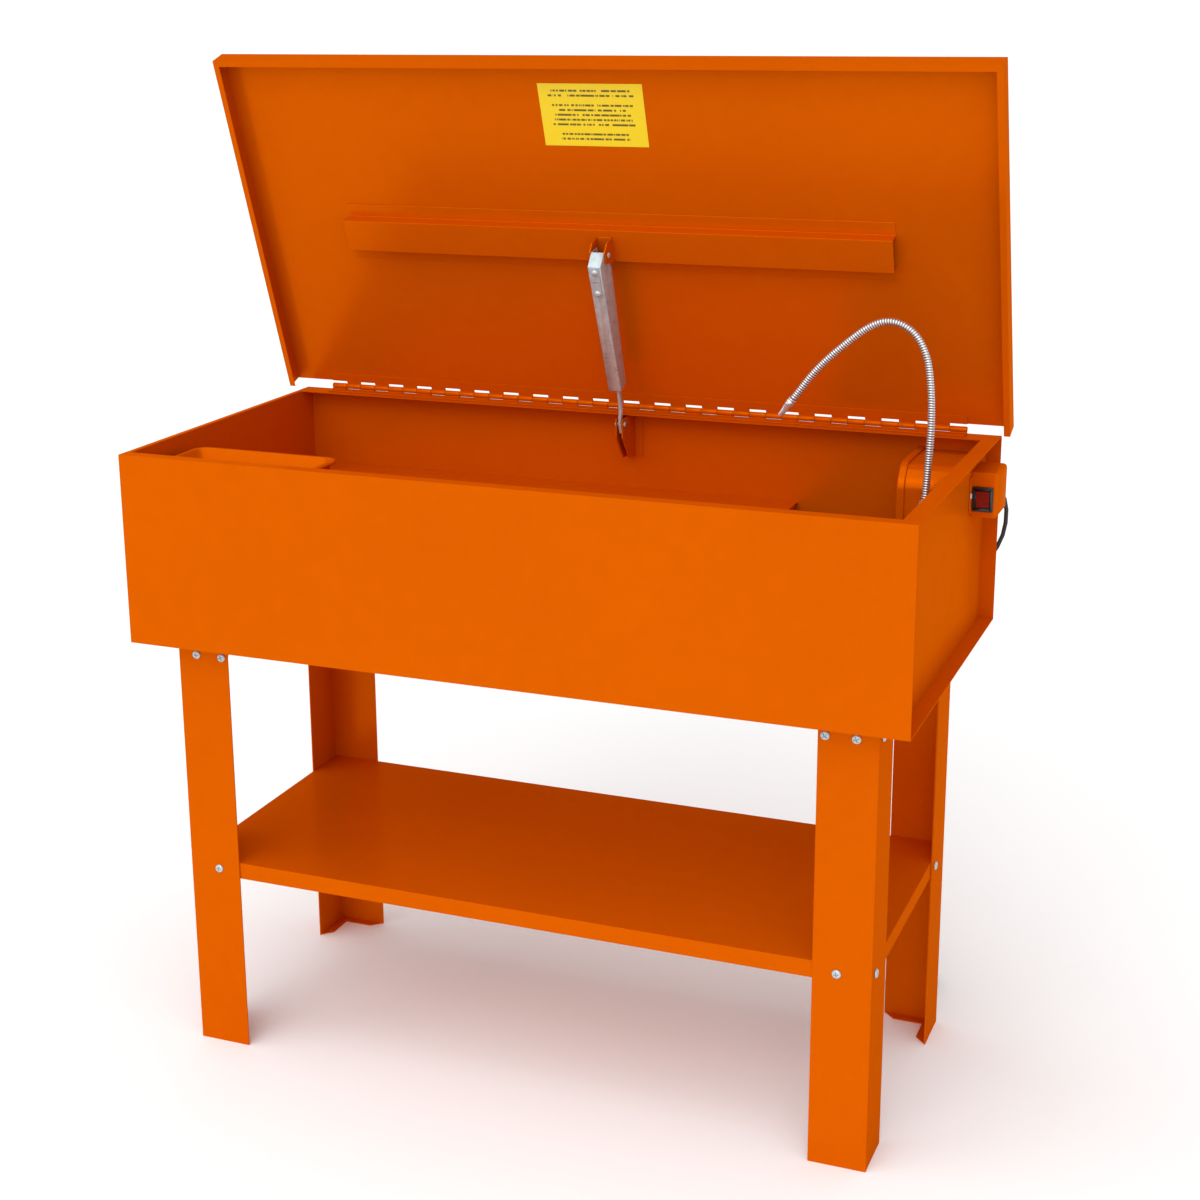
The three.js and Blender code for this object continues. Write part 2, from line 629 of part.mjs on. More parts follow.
// A channel open at the back, with a slanting front face and a bent head round the upper pin.
function stayChannel(stay) {
  const side = outline([
    stayPoint(-13, -6),
    stayPoint(9, -8),
    stayPoint(HEAD_FRONT, FACE_TOP_S),
    stayPoint(TAIL_FRONT, STAY_LENGTH),
    stayPoint(-17, STAY_LENGTH - 2),
  ]);
  const inside = outline([
    stayPoint(-40, -20),
    stayPoint(7, -20),
    stayPoint(8.5, -8 + STAY_SHEET),
    stayPoint(HEAD_FRONT - STAY_SHEET, FACE_TOP_S + 0.5),
    stayPoint(TAIL_FRONT - STAY_SHEET, STAY_LENGTH),
    stayPoint(TAIL_FRONT - STAY_SHEET, STAY_LENGTH + 10),
    stayPoint(-40, STAY_LENGTH + 10),
  ]);
  const x = STAY_WIDTH / 2;
  const holes = RIVET_S.map((s) => cylinder(RIVET_RADIUS + 0.2, 20, v3(0, 1, 0), v3(0, -faceAt(s), -s), 8));
  const channel = cut(alongX(side, -x, x), [
    alongX(inside, -x + STAY_SHEET, x - STAY_SHEET),
    cylinder(STAY_PIN_RADIUS + GAP, 60, v3(1, 0, 0), v3(0, 0, 0), 12),
    ...holes,
  ]);
  add(stay, "stay_channel", channel, zinc());
}

// The fusible link: a small plate riveted on the upper end of the channel's face.
function fusibleLink(stay) {
  const middle = (RIVET_S[0] + RIVET_S[1]) / 2;
  const link = new THREE.Group();
  link.position.set(0, -faceAt(middle) - GAP, -middle);
  link.rotation.x = Math.atan(faceSlope);
  stay.add(link);
  const half = (RIVET_S[1] - RIVET_S[0]) / 2;
  const plate = block(-7, 7, -1.5, 0, -half - 7, half + 7);
  const slot = block(-4, 4, -5, 5, -1.5, 1.5);
  const holes = [-half, half].map((z) => cylinder(RIVET_RADIUS + 0.2, 20, v3(0, 1, 0), v3(0, 0, z), 8));
  add(link, "fusible_link", cut(plate, [slot, ...holes]), zinc());
  const rivet = turned([
    [0, -6],
    [RIVET_RADIUS - 0.2, -6],
    [RIVET_RADIUS - 0.2, 1.5 + GAP],
    [5, 1.5 + GAP],
    [4, 3.8],
    [2, 4.8],
    [0, 4.8],
  ], 12).rotateX(Math.PI / 2);
  add(link, "link_rivet_upper", rivet, zinc()).position.z = half;
  add(link, "link_rivet_lower", rivet.clone(), zinc()).position.z = -half;
}

// The flat rod turns on the lower pin and slides inside the channel, a little behind the pin line.
const ROD_SET_BACK = 9;
const ROD_HALF_WIDTH = 4.5;
const ROD_TOP_S = 60;

function stayRod(stay) {
  const reach = pinDistance - ROD_TOP_S;
  const rear = -ROD_SET_BACK - ROD_HALF_WIDTH;
  const front = -ROD_SET_BACK + ROD_HALF_WIDTH;
  const bar = outline([
    [-5, -14],
    [-5, 4],
    [-front, 24],
    [-front, reach],
    [-rear, reach],
    [-rear, 30],
    [5, 6],
    [5, -14],
  ]);
  const x = STAY_ROD_THICK / 2;
  const hole = cylinder(STAY_PIN_RADIUS + GAP, 20, v3(1, 0, 0), v3(0, 0, 0), 12);
  add(stay, "stay_rod", cut(alongX(bar, -x, x), [hole]), zinc());
}

function lidStay(lid) {
  upperClevis(lid);
  lowerClevis();
  const channelGroup = new THREE.Group();
  channelGroup.position.copy(upperPin);
  channelGroup.rotation.x = stayTurn;
  washer.add(channelGroup);
  stayChannel(channelGroup);
  fusibleLink(channelGroup);
  const rodGroup = new THREE.Group();
  rodGroup.position.copy(lowerPin);
  rodGroup.rotation.x = stayTurn;
  washer.add(rodGroup);
  stayRod(rodGroup);
}

// ---------- work shelf, its ledges and the parts tray ----------
function workShelf() {
  const y0 = FRONT + SHEET + GAP;
  const y1 = BACK - SHEET - GAP;
  const x0 = LEFT_WALL + GAP;
  const shelf = join(
    block(x0, WORK_SHELF_END_X, y0, y1, WORK_SHELF_Z - SHEET, WORK_SHELF_Z),
    block(WORK_SHELF_END_X - SHEET, WORK_SHELF_END_X, y0 + LEDGE + 2, y1 - LEDGE - 2,
      WORK_SHELF_Z - LEDGE, WORK_SHELF_Z),
  );
  add(washer, "work_shelf", shelf, orange());
  const top = WORK_SHELF_Z - SHEET - GAP;
  const ledges = [
    { name: "shelf_ledge_front", wall: y0, sign: 1 },
    { name: "shelf_ledge_back", wall: y1, sign: -1 },
  ];
  for (const { name, wall, sign } of ledges) {
    const angle = outline([
      [0, 0],
      [sign * LEDGE, 0],
      [sign * LEDGE, -SHEET],
      [sign * SHEET, -SHEET],
      [sign * SHEET, -LEDGE],
      [0, -LEDGE],
    ]);
    add(washer, name, alongX(angle, x0, WORK_SHELF_END_X - 5), orange()).position.set(0, wall, top);
  }
}

function roundedRectangle(x0, x1, y0, y1, radius) {
  const shape = new THREE.Shape();
  shape.absarc(x1 - radius, y1 - radius, radius, 0, Math.PI / 2, false);
  shape.absarc(x0 + radius, y1 - radius, radius, Math.PI / 2, Math.PI, false);
  shape.absarc(x0 + radius, y0 + radius, radius, Math.PI, 1.5 * Math.PI, false);
  shape.absarc(x1 - radius, y0 + radius, radius, 1.5 * Math.PI, 2 * Math.PI, false);
  return shape;
}

function partsTray() {
  const { length, width, rim, corner, wall } = TRAY;
  const height = WORK_SHELF_BELOW_RIM - TRAY.below - GAP;
  const shell = (inset, z0, z1) =>
    alongZ(roundedRectangle(inset, length - inset, inset, width - inset, corner - inset), z0, z1, 3);
  const body = join(shell(rim, 0, height), shell(0, height - wall, height));
  const tray = cut(body, [shell(rim + wall, wall, height + 1)]);
  const mesh = add(washer, "parts_tray", tray, orange());
  mesh.position.set(LEFT_WALL + TRAY_FROM_LEFT, FRONT + TRAY_FROM_FRONT, WORK_SHELF_Z + GAP);
}

// ---------- pump, its cover, hose and spout ----------
function coverOutline(inset, foot) {
  const back = BACK - SHEET - GAP;
  return outline([
    [back, foot],
    [back, COVER_TOP - inset],
    [COVER_Y0 + COVER_NOSE + inset * 0.3, COVER_TOP - inset],
    [COVER_Y0 + 6 + inset * 0.7, COVER_TOP - 14 - inset * 0.5],
    [COVER_Y0 + inset, COVER_TOP - 28],
    [COVER_Y0 + inset, foot],
  ]);
}

// A folded cover over the pump, closed on its left side by a cheek that stands a little proud.
function pumpCover() {
  const x1 = RIGHT_WALL - GAP;
  const skin = SHEET;
  const outside = join(
    alongX(coverOutline(0, COVER_FOOT), COVER_X0, COVER_X0 + COVER_MARGIN),
    alongX(coverOutline(COVER_STEP, COVER_FOOT), COVER_X0 + COVER_MARGIN - 1, x1),
  );
  const hollow = alongX(coverOutline(COVER_STEP + skin, COVER_FOOT - 10), COVER_X0 + skin, x1 + 10);
  const backHollow = block(COVER_X0 + skin, x1 + 10, COVER_Y0 + 30, BACK, COVER_FOOT - 10,
    COVER_TOP - COVER_STEP - skin);
  const intake = block(COVER_X0 + 20, x1 - 20, COVER_Y0 - 5, COVER_Y0 + 20, COVER_FOOT - 10, COVER_FOOT + 40);
  const elbowHole = cylinder(ELBOW_RADIUS + 0.5, 30, v3(0, 1, 0), v3(SPOUT_X, COVER_Y0, ELBOW_Z), 12);
  add(washer, "pump_cover", cut(outside, [hollow, backHollow, intake, elbowHole]), orange());
}

function pump() {
  const base = new THREE.Group();
  base.position.set(PUMP_X, PUMP_Y, COVER_FOOT);
  washer.add(base);
  const strainer = turned([[0, 0], [PUMP_BASE_RADIUS, 0], [PUMP_BASE_RADIUS - 3, PUMP.baseHeight],
    [0, PUMP.baseHeight]], 20);
  add(base, "pump_strainer", strainer, black());
  const foot = PUMP.baseHeight + GAP;
  const top = foot + PUMP.height;
  const body = turned([
    [0, foot],
    [PUMP_RADIUS, foot],
    [PUMP_RADIUS, top - 14],
    [PUMP_RADIUS - 6, top - 3],
    [PUMP_RADIUS - 12, top],
    [0, top],
  ], 20);
  const outlet = cylinder(6, PUMP.outlet, v3(0, 0, 1), v3(-14, -10, top + PUMP.outlet / 2 - 3), 12);
  add(base, "pump_body", join(body, outlet), black());
}

function deliveryHose() {
  const outletTop = PUMP_TOP + PUMP.outlet - 3;
  const from = v3(PUMP_X - 14, PUMP_Y - 10, outletTop + GAP);
  const to = v3(SPOUT_X, COVER_Y0 + 31, ELBOW_Z);
  const rise = [0, 4, 8, 14].map((z) => from.clone().add(v3(0, 0, z)));
  const run = [12, 6, 0].map((y) => to.clone().add(v3(0, y, 0)));
  add(washer, "delivery_hose", tube([...rise, ...run], 7, 18, 10), rubber());
  const ring = new THREE.Shape();
  ring.absarc(0, 0, 9.4, 0, 2 * Math.PI, false);
  const bore = new THREE.Path();
  bore.absarc(0, 0, 7.8, 0, 2 * Math.PI, true);
  ring.holes.push(bore);
  const clamp = add(washer, "hose_clamp", alongZ(ring, -3.5, 3.5, 5), zinc());
  clamp.position.set(from.x, from.y, from.z + 4.5);
}

// The fixed elbow comes out of the cover and ends in a cup that carries the spout's ball.
function spoutElbow() {
  const corner = v3(SPOUT_X, SPOUT_Y, ELBOW_Z);
  const inletEnd = COVER_Y0 + 31 - GAP;
  const horizontal = cylinder(ELBOW_RADIUS, inletEnd - SPOUT_Y, v3(0, 1, 0),
    v3(SPOUT_X, (SPOUT_Y + inletEnd) / 2, ELBOW_Z), 12);
  const knee = new THREE.SphereGeometry(ELBOW_RADIUS, 12, 8).translate(corner.x, corner.y, corner.z);
  const riserEnd = CUP.clone().addScaledVector(CUP_AXIS, -4.5);
  const riser = cylinder(ELBOW_RADIUS, riserEnd.distanceTo(corner), riserEnd.clone().sub(corner),
    riserEnd.clone().add(corner).multiplyScalar(0.5), 12);
  const nut = cylinder(11, 7, v3(0, 1, 0), v3(SPOUT_X, COVER_Y0 - GAP - 3.5, ELBOW_Z), 6);
  const socket = new THREE.SphereGeometry(SPOUT_BALL + GAP, 16, 12).translate(CUP.x, CUP.y, CUP.z);
  add(washer, "spout_elbow", cut(join(horizontal, knee, riser, nut), [socket]), chrome());
}

// The spout's centre line along X and Z from its cup, in a plane that faces the tank's front.
const SPOUT_ROUTE = [
  [4.5, 21], [7, 70], [9, 126], [6, 182], [-2, 223], [-21, 253], [-51, 266], [-83, 257], [-127, 222],
  [-159, 190], [-190, 149],
];

function spout() {
  const ferrule = join(
    new THREE.SphereGeometry(SPOUT_BALL, 14, 10),
    cylinder(4, 6, CUP_AXIS, CUP_AXIS.clone().multiplyScalar(6), 12),
    cylinder(
      6.8, FERRULE_END - 7.2, CUP_AXIS,
      CUP_AXIS.clone().multiplyScalar((FERRULE_END + 7.2) / 2), 12, 6.2,
    ),
  );
  add(washer, "spout_ferrule", ferrule, chrome()).position.copy(CUP);
  const start = CUP.clone().addScaledVector(CUP_AXIS, FERRULE_END + GAP);
  const rest = SPOUT_ROUTE.map(([x, z]) => v3(CUP.x + x, CUP.y, CUP.z + z));
  add(washer, "spout_hose", tube([start, ...rest], SPOUT_RADIUS, 44, 8), chrome());

  const [tip, before] = [rest[rest.length - 1], rest[rest.length - 2]];
  const aim = tip.clone().sub(before).normalize();
  const nozzle = turned([
    [0, 3],
    [2, 3],
    [2, 0],
    [6.2, 0],
    [6.2, 10],
    [3.2, NOZZLE_LENGTH],
    [0, NOZZLE_LENGTH],
  ], 14);
  const mesh = add(washer, "spout_nozzle", nozzle, chrome());
  mesh.position.copy(tip.clone().addScaledVector(aim, 0.6));
  mesh.quaternion.setFromUnitVectors(v3(0, 0, 1), aim);
}

// The pump's cable runs inside the cover and through the end panel into the switch box.
function pumpCable() {
  const points = [
    v3(PUMP_X + 10, PUMP_Y + 6, PUMP_TOP + GAP),
    v3(PUMP_X + 12, PUMP_Y + 8, PUMP_TOP + 25),
    v3(PUMP_X + 22, PUMP_Y + 6, CABLE_Z - 14),
    v3(RIGHT_WALL - 12, CABLE_Y, CABLE_Z),
    v3(RIGHT_FACE + 5, CABLE_Y, CABLE_Z),
  ];
  add(washer, "pump_cable", tube(points, CABLE_RADIUS, 24, 8), rubber());
}

// ---------- switch box ----------
function switchBox() {
  const x1 = BOX_X0 + BOX.width;
  const { depth, height, flange } = BOX;
  const [y, z] = [BOX_Y, BOX_Z];
  const outside = join(
    block(BOX_X0, x1, y, y + depth, z, z + height),
    block(BOX_X0, BOX_X0 + SHEET, y - flange, y + depth + flange, z + 6, z + height - 6),
  );
  const hollow = block(BOX_X0 - 1, x1 - SHEET, y + SHEET, y + depth - SHEET, z + SHEET, z + height - SHEET);
  const window = block(
    BEZEL_X - BEZEL.bodyWidth / 2 - GAP,
    BEZEL_X + BEZEL.bodyWidth / 2 + GAP,
    y - 5,
    y + 5,
    BEZEL_Z - BEZEL.bodyHeight / 2 - GAP,
    BEZEL_Z + BEZEL.bodyHeight / 2 + GAP,
  );
  add(washer, "switch_box", cut(outside, [hollow, window]), orange());
}

function rockerSwitch() {
  const group = new THREE.Group();
  group.position.set(BEZEL_X, BOX_Y, BEZEL_Z);
  washer.add(group);
  const { width, height, thick, bodyWidth, bodyHeight, bodyDepth } = BEZEL;
  const body = join(
    block(-width / 2, width / 2, -thick - GAP, -GAP, -height / 2, height / 2),
    block(-bodyWidth / 2, bodyWidth / 2, -GAP - 1, bodyDepth, -bodyHeight / 2, bodyHeight / 2),
  );
  const well = block(-ROCKER.width / 2 - 0.5, ROCKER.width / 2 + 0.5, -10, ROCKER.depth + 3,
    -ROCKER.height / 2 - 1.5, ROCKER.height / 2 + 1.5);
  add(group, "switch_bezel", cut(body, [well]), black());
  const tilt = Math.tan(THREE.MathUtils.degToRad(ROCKER_TRAVEL / 2)) * (ROCKER.height / 2);
  const rocker = outline([
    [-tilt, ROCKER.height / 2 - 0.8],
    [ROCKER.depth - 3, ROCKER.height / 2 - 2.5],
    [ROCKER.depth, 0],
    [ROCKER.depth - 3, -ROCKER.height / 2 + 2.5],
    [tilt, -ROCKER.height / 2 + 0.8],
    [0.6, 0],
  ]);
  const mesh = add(group, "switch_rocker", alongX(rocker, -ROCKER.width / 2, ROCKER.width / 2), red());
  mesh.position.y = -thick - 0.4;
}

const ROCKER_TRAVEL = 14; // degrees

// ---------- power lead ----------
const CORD_ROUTE = [
  [580, 264.3, 843], [580, 267.3, 843], [580.7, 275, 840.5], [583, 284, 830], [584.5, 289, 812],
  [583, 291, 790], [577, 290, 766], [564, 288, 743], [547, 286, 721], [529, 284, 700], [514, 282.5, 680], [506, 281.5, 660],
  [502, 281, 640], [499, 281, 600], [491, 280.6, 500], [483, 280.2, 400], [475, 279.8, 300],
  [467, 279.2, 200], [461, 278.7, 120], [458, 278.5, 60], [457.1, 278.5, 34], [458, 279, 24],
  [460.1, 280.2, 17.4],
];

function powerLead() {
  const y0 = BOX_Y + BOX.depth + GAP;
  const relief = turned([
    [0, 0],
    [9, 0],
    [9, 3],
    [6.5, 4],
    [CORD_RADIUS + 1, CORD_EXIT.y - y0 - 0.3],
    [0, CORD_EXIT.y - y0 - 0.3],
  ], 14);
  const mesh = add(washer, "strain_relief", relief, rubber());
  mesh.position.set(CORD_EXIT.x, y0, CORD_EXIT.z);
  mesh.rotation.x = -Math.PI / 2;
  const points = CORD_ROUTE.map(([x, y, z]) => v3(x, y, z));
  add(washer, "power_cord", tube(points, CORD_RADIUS, 70, 8), rubber());

  const coil = new THREE.LatheGeometry([
    [COIL.inner, 0],
    [COIL.outer, 0],
    [COIL.outer, COIL.height],
    [COIL.inner, COIL.height],
    [COIL.inner, 0],
  ].map(([r, z]) => new THREE.Vector2(r, z)), 24).rotateX(Math.PI / 2);
  add(washer, "cord_coil", coil, rubber()).position.set(COIL.x, COIL.y, 0);
}

// A moulded three-pin plug lying on top of the coil and pointing away from the tank.
function plug() {
  const group = new THREE.Group();
  group.position.set(COIL.x + PLUG.aside, COIL.y - PLUG.tail, COIL.height + GAP);
  group.rotation.z = Math.PI / 2;
  washer.add(group);
  const body = outline([[-18, -14], [12, -14], [18, -8], [18, 8], [12, 14], [-18, 14], [-24, 6], [-24, -6]]);
  const pins = [-7, 7].map((y) => block(17, 33, y - 3, y + 3, 8, 10));
  add(group, "plug", join(alongZ(body, 0, 20), ...pins, block(17, 35, -2.2, 2.2, 13, 17)), rubber());
}

// ---------- assembly ----------
const lidGroup = new THREE.Group();
lidGroup.position.set(0, HINGE_Y, HINGE_Z);
lidGroup.rotation.x = lidTurn;
washer.add(lidGroup);

tankShell();
drainPlug();
legs();
legBrackets();
legBoltNodes();
bottomShelf();
hinge(lidGroup);
lidPanel(lidGroup);
lidStiffener(lidGroup);
label(lidGroup);
lidStay(lidGroup);
workShelf();
partsTray();
pumpCover();
pump();
deliveryHose();
spoutElbow();
spout();
pumpCable();
switchBox();
rockerSwitch();
powerLead();
plug();

export default washer;
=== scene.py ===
"""Parts washer tank: the pieces of a sheet steel parts washer, their finishes and the studio round it."""

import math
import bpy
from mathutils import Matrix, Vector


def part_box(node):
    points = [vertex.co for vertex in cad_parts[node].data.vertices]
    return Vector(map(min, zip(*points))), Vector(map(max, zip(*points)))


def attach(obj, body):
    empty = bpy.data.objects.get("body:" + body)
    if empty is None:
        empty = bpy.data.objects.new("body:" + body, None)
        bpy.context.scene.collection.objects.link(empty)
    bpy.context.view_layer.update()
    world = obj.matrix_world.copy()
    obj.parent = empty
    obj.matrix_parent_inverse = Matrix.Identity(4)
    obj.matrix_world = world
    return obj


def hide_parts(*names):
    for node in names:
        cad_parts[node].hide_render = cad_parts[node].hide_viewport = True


bl_info = {
    "name": "Parts washer tank",
    "version": (1, 0, 0),
    "blender": (4, 5, 0),
    "location": "View3D > Sidebar > Washer",
    "description": "Builds the sheet steel parts washer around its packed frame",
    "category": "Object",
}

import bmesh
import bpy
from mathutils import Matrix, Vector

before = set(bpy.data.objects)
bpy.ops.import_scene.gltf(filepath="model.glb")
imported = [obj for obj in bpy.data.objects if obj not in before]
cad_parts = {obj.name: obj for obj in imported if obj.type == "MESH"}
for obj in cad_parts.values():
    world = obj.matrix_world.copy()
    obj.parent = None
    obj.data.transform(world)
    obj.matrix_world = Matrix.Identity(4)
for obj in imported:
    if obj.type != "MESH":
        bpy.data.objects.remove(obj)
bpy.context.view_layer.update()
MM = 0.001
FULL = 2 * math.pi

# Places on the washer, in millimetres where no unit follows.
CORD_ROUTE = [
    (580, 264.3, 843), (580, 267.3, 843), (580.7, 275, 840.5), (583, 284, 830), (584.5, 289, 812),
    (583, 291, 790), (577, 290, 766), (564, 288, 743), (547, 286, 721), (529, 284, 700),
    (514, 282.5, 680), (506, 281.5, 660), (502, 281, 640), (499, 281, 600), (491, 280.6, 500),
    (483, 280.2, 400), (475, 279.8, 300), (467, 279.2, 200), (461, 278.7, 120), (458, 278.5, 60),
]
COIL_CENTRE = (462, 322)
SPOUT_CUP = Vector((497, 105, 850)) * MM
SPOUT_TILT = math.radians(12)
SPOUT_ROUTE = [
    (501.5, 871), (504, 920), (506, 976), (503, 1032), (495, 1073), (476, 1103), (446, 1116),
    (414, 1107), (370, 1072), (338, 1040), (307, 999),
]
FERRULE_END = 14.3
LID_TURN = math.radians(-70.5)
HINGE = Vector((0, 270.4, 936.5)) * MM
STAY_PINS = (Vector((0, 138.6186, 1186.7123)) * MM, Vector((0, 222, 917)) * MM)
LEG_CORNERS = {
    "front_left": (-525, -228), "front_right": (525, -228),
    "back_left": (-525, 225), "back_right": (525, 225),
}
TOP_BOLT_Z, SHELF_BOLT_Z = 626, 289.5
HINGE_HALF = 525
KNUCKLES = 41
KNUCKLE_PITCH = 2 * HINGE_HALF / KNUCKLES
KNUCKLE_RADIUS = 4.4
SPOUT_PLANE_Y = 105
ELBOW_X, ELBOW_Z = 490, 838
PLUG_AXIS_Z = 0.0235
CAMERA_PLACE = (1.078634, -2.629734, 1.553723)
CAMERA_ANGLES = (21.8826, 15.1595, -0.4328)  # round the washer, down, roll, in degrees
CAMERA_SHIFT = (0.015615, -0.047459)


# ---------- settings ----------
def length(name, description, default):
    return bpy.props.FloatProperty(
        name=name, description=description, default=default, unit="LENGTH", precision=5)


def colour(name, description, default):
    return bpy.props.FloatVectorProperty(
        name=name, description=description, default=default, size=4, subtype="COLOR", min=0, max=1)


def share(name, description, default):
    return bpy.props.FloatProperty(
        name=name, description=description, default=default, subtype="FACTOR", min=0, max=1)


def amount(name, description, default):
    return bpy.props.FloatProperty(name=name, description=description, default=default, min=0)


class WasherPaint(bpy.types.PropertyGroup):
    powder: colour("Powder coat", "Main colour of the painted sheet", (0.6, 0.098, 0.0004, 1))
    powder_deep: colour("Thick coat", "Colour where the coat is thicker", (0.57, 0.09, 0.0003, 1))
    glint: colour("Coat glint", "Tint of the coat's straight reflection", (1.0, 0.42, 0.06, 1))
    gloss: share("Roughness", "Roughness of the coat", 0.22)
    peel: length("Orange peel", "Width of one ripple in the coat", 0.0021)
    label: colour("Label", "Colour of the label's film", (0.86, 0.62, 0.0, 1))
    rocker: colour("Rocker", "Colour of the switch rocker", (0.16, 0.004, 0.003, 1))


class WasherSheet(bpy.types.PropertyGroup):
    edge: length("Edge radius", "Radius of a fold and of a cut sheet edge", 0.0007)


class WasherCord(bpy.types.PropertyGroup):
    diameter: length("Diameter", "Diameter of the power lead", 0.0064)
    bend: length("Bend", "Radius of the turn onto the floor", 0.026)
    coil: length("Coil", "Radius at the middle of the coil's turns", 0.032)


class WasherSpout(bpy.types.PropertyGroup):
    radius: length("Radius", "Outer radius of the ringed hose", 0.0055)
    pitch: length("Pitch", "Distance from ring to ring", 0.0036)
    groove: length("Groove", "Depth between the rings", 0.0008)


class WasherStage(bpy.types.PropertyGroup):
    lens: amount("Lens", "Focal length in millimetres", 60.549)
    floor: colour("Floor", "Colour of the studio floor", (0.93, 0.93, 0.93, 1))
    sky: amount("Sky", "Strength of the even light from above", 0.52)
    band: amount("Backdrop", "Strength of the bright band round the horizon", 1.05)
    top: amount("Top light", "Strength of the light from above", 1.8)
    front: amount("Front light", "Strength of the light from the front", 0.85)


SETTINGS = {
    "washer_paint": WasherPaint,
    "washer_sheet": WasherSheet,
    "washer_cord": WasherCord,
    "washer_spout": WasherSpout,
    "washer_stage": WasherStage,
}


# ---------- finishes ----------
class Value:
    """A node's output. Maths on it adds the Math nodes."""

    def __init__(self, finish, socket):
        self.finish, self.socket = finish, socket

    def maths(self, operation, *others, swapped=False):
        terms = [self, *others]
        if swapped:
            terms.reverse()
        return self.finish.node("ShaderNodeMath", {"operation": operation}, dict(enumerate(terms)))

    def __add__(self, other):
        return self.maths("ADD", other)

    def __sub__(self, other):
        return self.maths("SUBTRACT", other)

    def __rsub__(self, other):
        return self.maths("SUBTRACT", other, swapped=True)

    def __mul__(self, other):
        return self.maths("MULTIPLY", other)

    def __lt__(self, other):
        return self.maths("LESS_THAN", other)

    def __gt__(self, other):
        return self.maths("GREATER_THAN", other)

    def __abs__(self):
        return self.maths("ABSOLUTE")

    __radd__ = __add__
    __rmul__ = __mul__


class Finish:
    """A new material, its Principled shader, and the one method that adds any other node."""

    def __init__(self, name, constants):
        self.material = bpy.data.materials.new(name)
        self.material.use_nodes = True
        self.tree = self.material.node_tree
        self.shader = self.tree.nodes["Principled BSDF"]
        for socket, value in constants.items():
            self.shader.inputs[socket].default_value = value
        self.material.diffuse_color = self.shader.inputs["Base Color"].default_value

    def node(self, kind, settings, inputs, output=0):
        made = self.tree.nodes.new(kind)
        for key, value in settings.items():
            if key == "stops":
                ramp = made.color_ramp
                for index, (place, tone) in enumerate(value):
                    stop = ramp.elements[index] if index < 2 else ramp.elements.new(place)
                    stop.position, stop.color = place, (tone, tone, tone, 1)
            else:
                setattr(made, key, value)
        for key, value in inputs.items():
            self.join(made.inputs[key], value)
        return Value(self, made.outputs[output])

    def join(self, socket, value):
        if isinstance(value, Value):
            self.tree.links.new(value.socket, socket)
        else:
            socket.default_value = value

    def set(self, socket, value):
        self.join(self.shader.inputs[socket], value)

    def place(self, output="Object"):
        return self.node("ShaderNodeTexCoord", {}, {}, output)

    def noise(self, place, scale, detail=2.0, rough=0.5):
        inputs = {"Vector": place, "Scale": scale, "Detail": detail, "Roughness": rough}
        return self.node("ShaderNodeTexNoise", {}, inputs)

    def stretched(self, place, scale):
        return self.node("ShaderNodeMapping", {}, {"Vector": place, "Scale": scale})

    def ramp(self, value, *stops):
        return self.node("ShaderNodeValToRGB", {"stops": stops}, {"Fac": value})

    def blend(self, factor, low, high):
        return self.node("ShaderNodeMix", {"data_type": "RGBA"}, {0: factor, 6: low, 7: high}, 2)

    def bump(self, height, strength, distance, under=None):
        inputs = {"Height": height, "Strength": strength, "Distance": distance}
        if under is not None:
            inputs["Normal"] = under
        return self.node("ShaderNodeBump", {}, inputs)


def shade(tone, factor):
    return (tone[0] * factor, tone[1] * factor, tone[2] * factor, 1)


def powder_coat():
    paint = bpy.context.scene.washer_paint
    coat = Finish("powder_coat", {
        "Base Color": paint.powder, "Metallic": 0.24, "Specular IOR Level": 0.0,
        "Specular Tint": paint.glint})
    place = coat.place()
    peel = coat.noise(place, 1 / paint.peel, 1.5, 0.45)
    grit = coat.noise(place, 2600, 1.0, 0.5)
    broad = coat.noise(place, 3.1, 3.0, 0.55)
    mottle = coat.noise(place, 46, 2.0, 0.5)
    depth = coat.ramp(broad * 0.6 + mottle * 0.4, (0.35, 0), (0.68, 1))
    coat.set("Base Color", coat.blend(depth, tuple(paint.powder_deep), tuple(paint.powder)))
    coat.set("Roughness", peel * 0.07 + broad * 0.06 + (paint.gloss - 0.06))
    ripples = coat.bump(peel, 0.1, 0.0003)
    coat.set("Normal", coat.bump(grit, 0.05, 0.0001, ripples))
    return coat.material


def zinc_plate():
    zinc = Finish("zinc_plate", {"Base Color": (0.6, 0.6, 0.61, 1), "Metallic": 0.4})
    place = zinc.place()
    bloom = zinc.noise(place, 90, 3.0, 0.6)
    scratch = zinc.noise(zinc.stretched(place, (2600, 260, 260)), 1.0, 2.0, 0.6)
    spangle = zinc.ramp(bloom, (0.3, 0), (0.75, 1))
    zinc.set("Base Color", zinc.blend(spangle, (0.4, 0.47, 0.5, 1), (0.56, 0.65, 0.68, 1)))
    zinc.set("Roughness", bloom * 0.2 + scratch * 0.1 + 0.16)
    zinc.set("Normal", zinc.bump(scratch, 0.12, 0.0001))
    return zinc.material


def bright_chrome():
    chrome = Finish("bright_chrome", {"Base Color": (0.8, 0.81, 0.82, 1), "Metallic": 0.7})
    place = chrome.place()
    haze = chrome.noise(place, 140, 3.0, 0.6)
    chrome.set("Base Color", chrome.blend(haze, (0.66, 0.67, 0.69, 1), (0.86, 0.86, 0.86, 1)))
    chrome.set("Roughness", haze * 0.14 + 0.07)
    chrome.set("Normal", chrome.bump(chrome.noise(place, 1500, 1.0), 0.03, 0.0001))
    return chrome.material


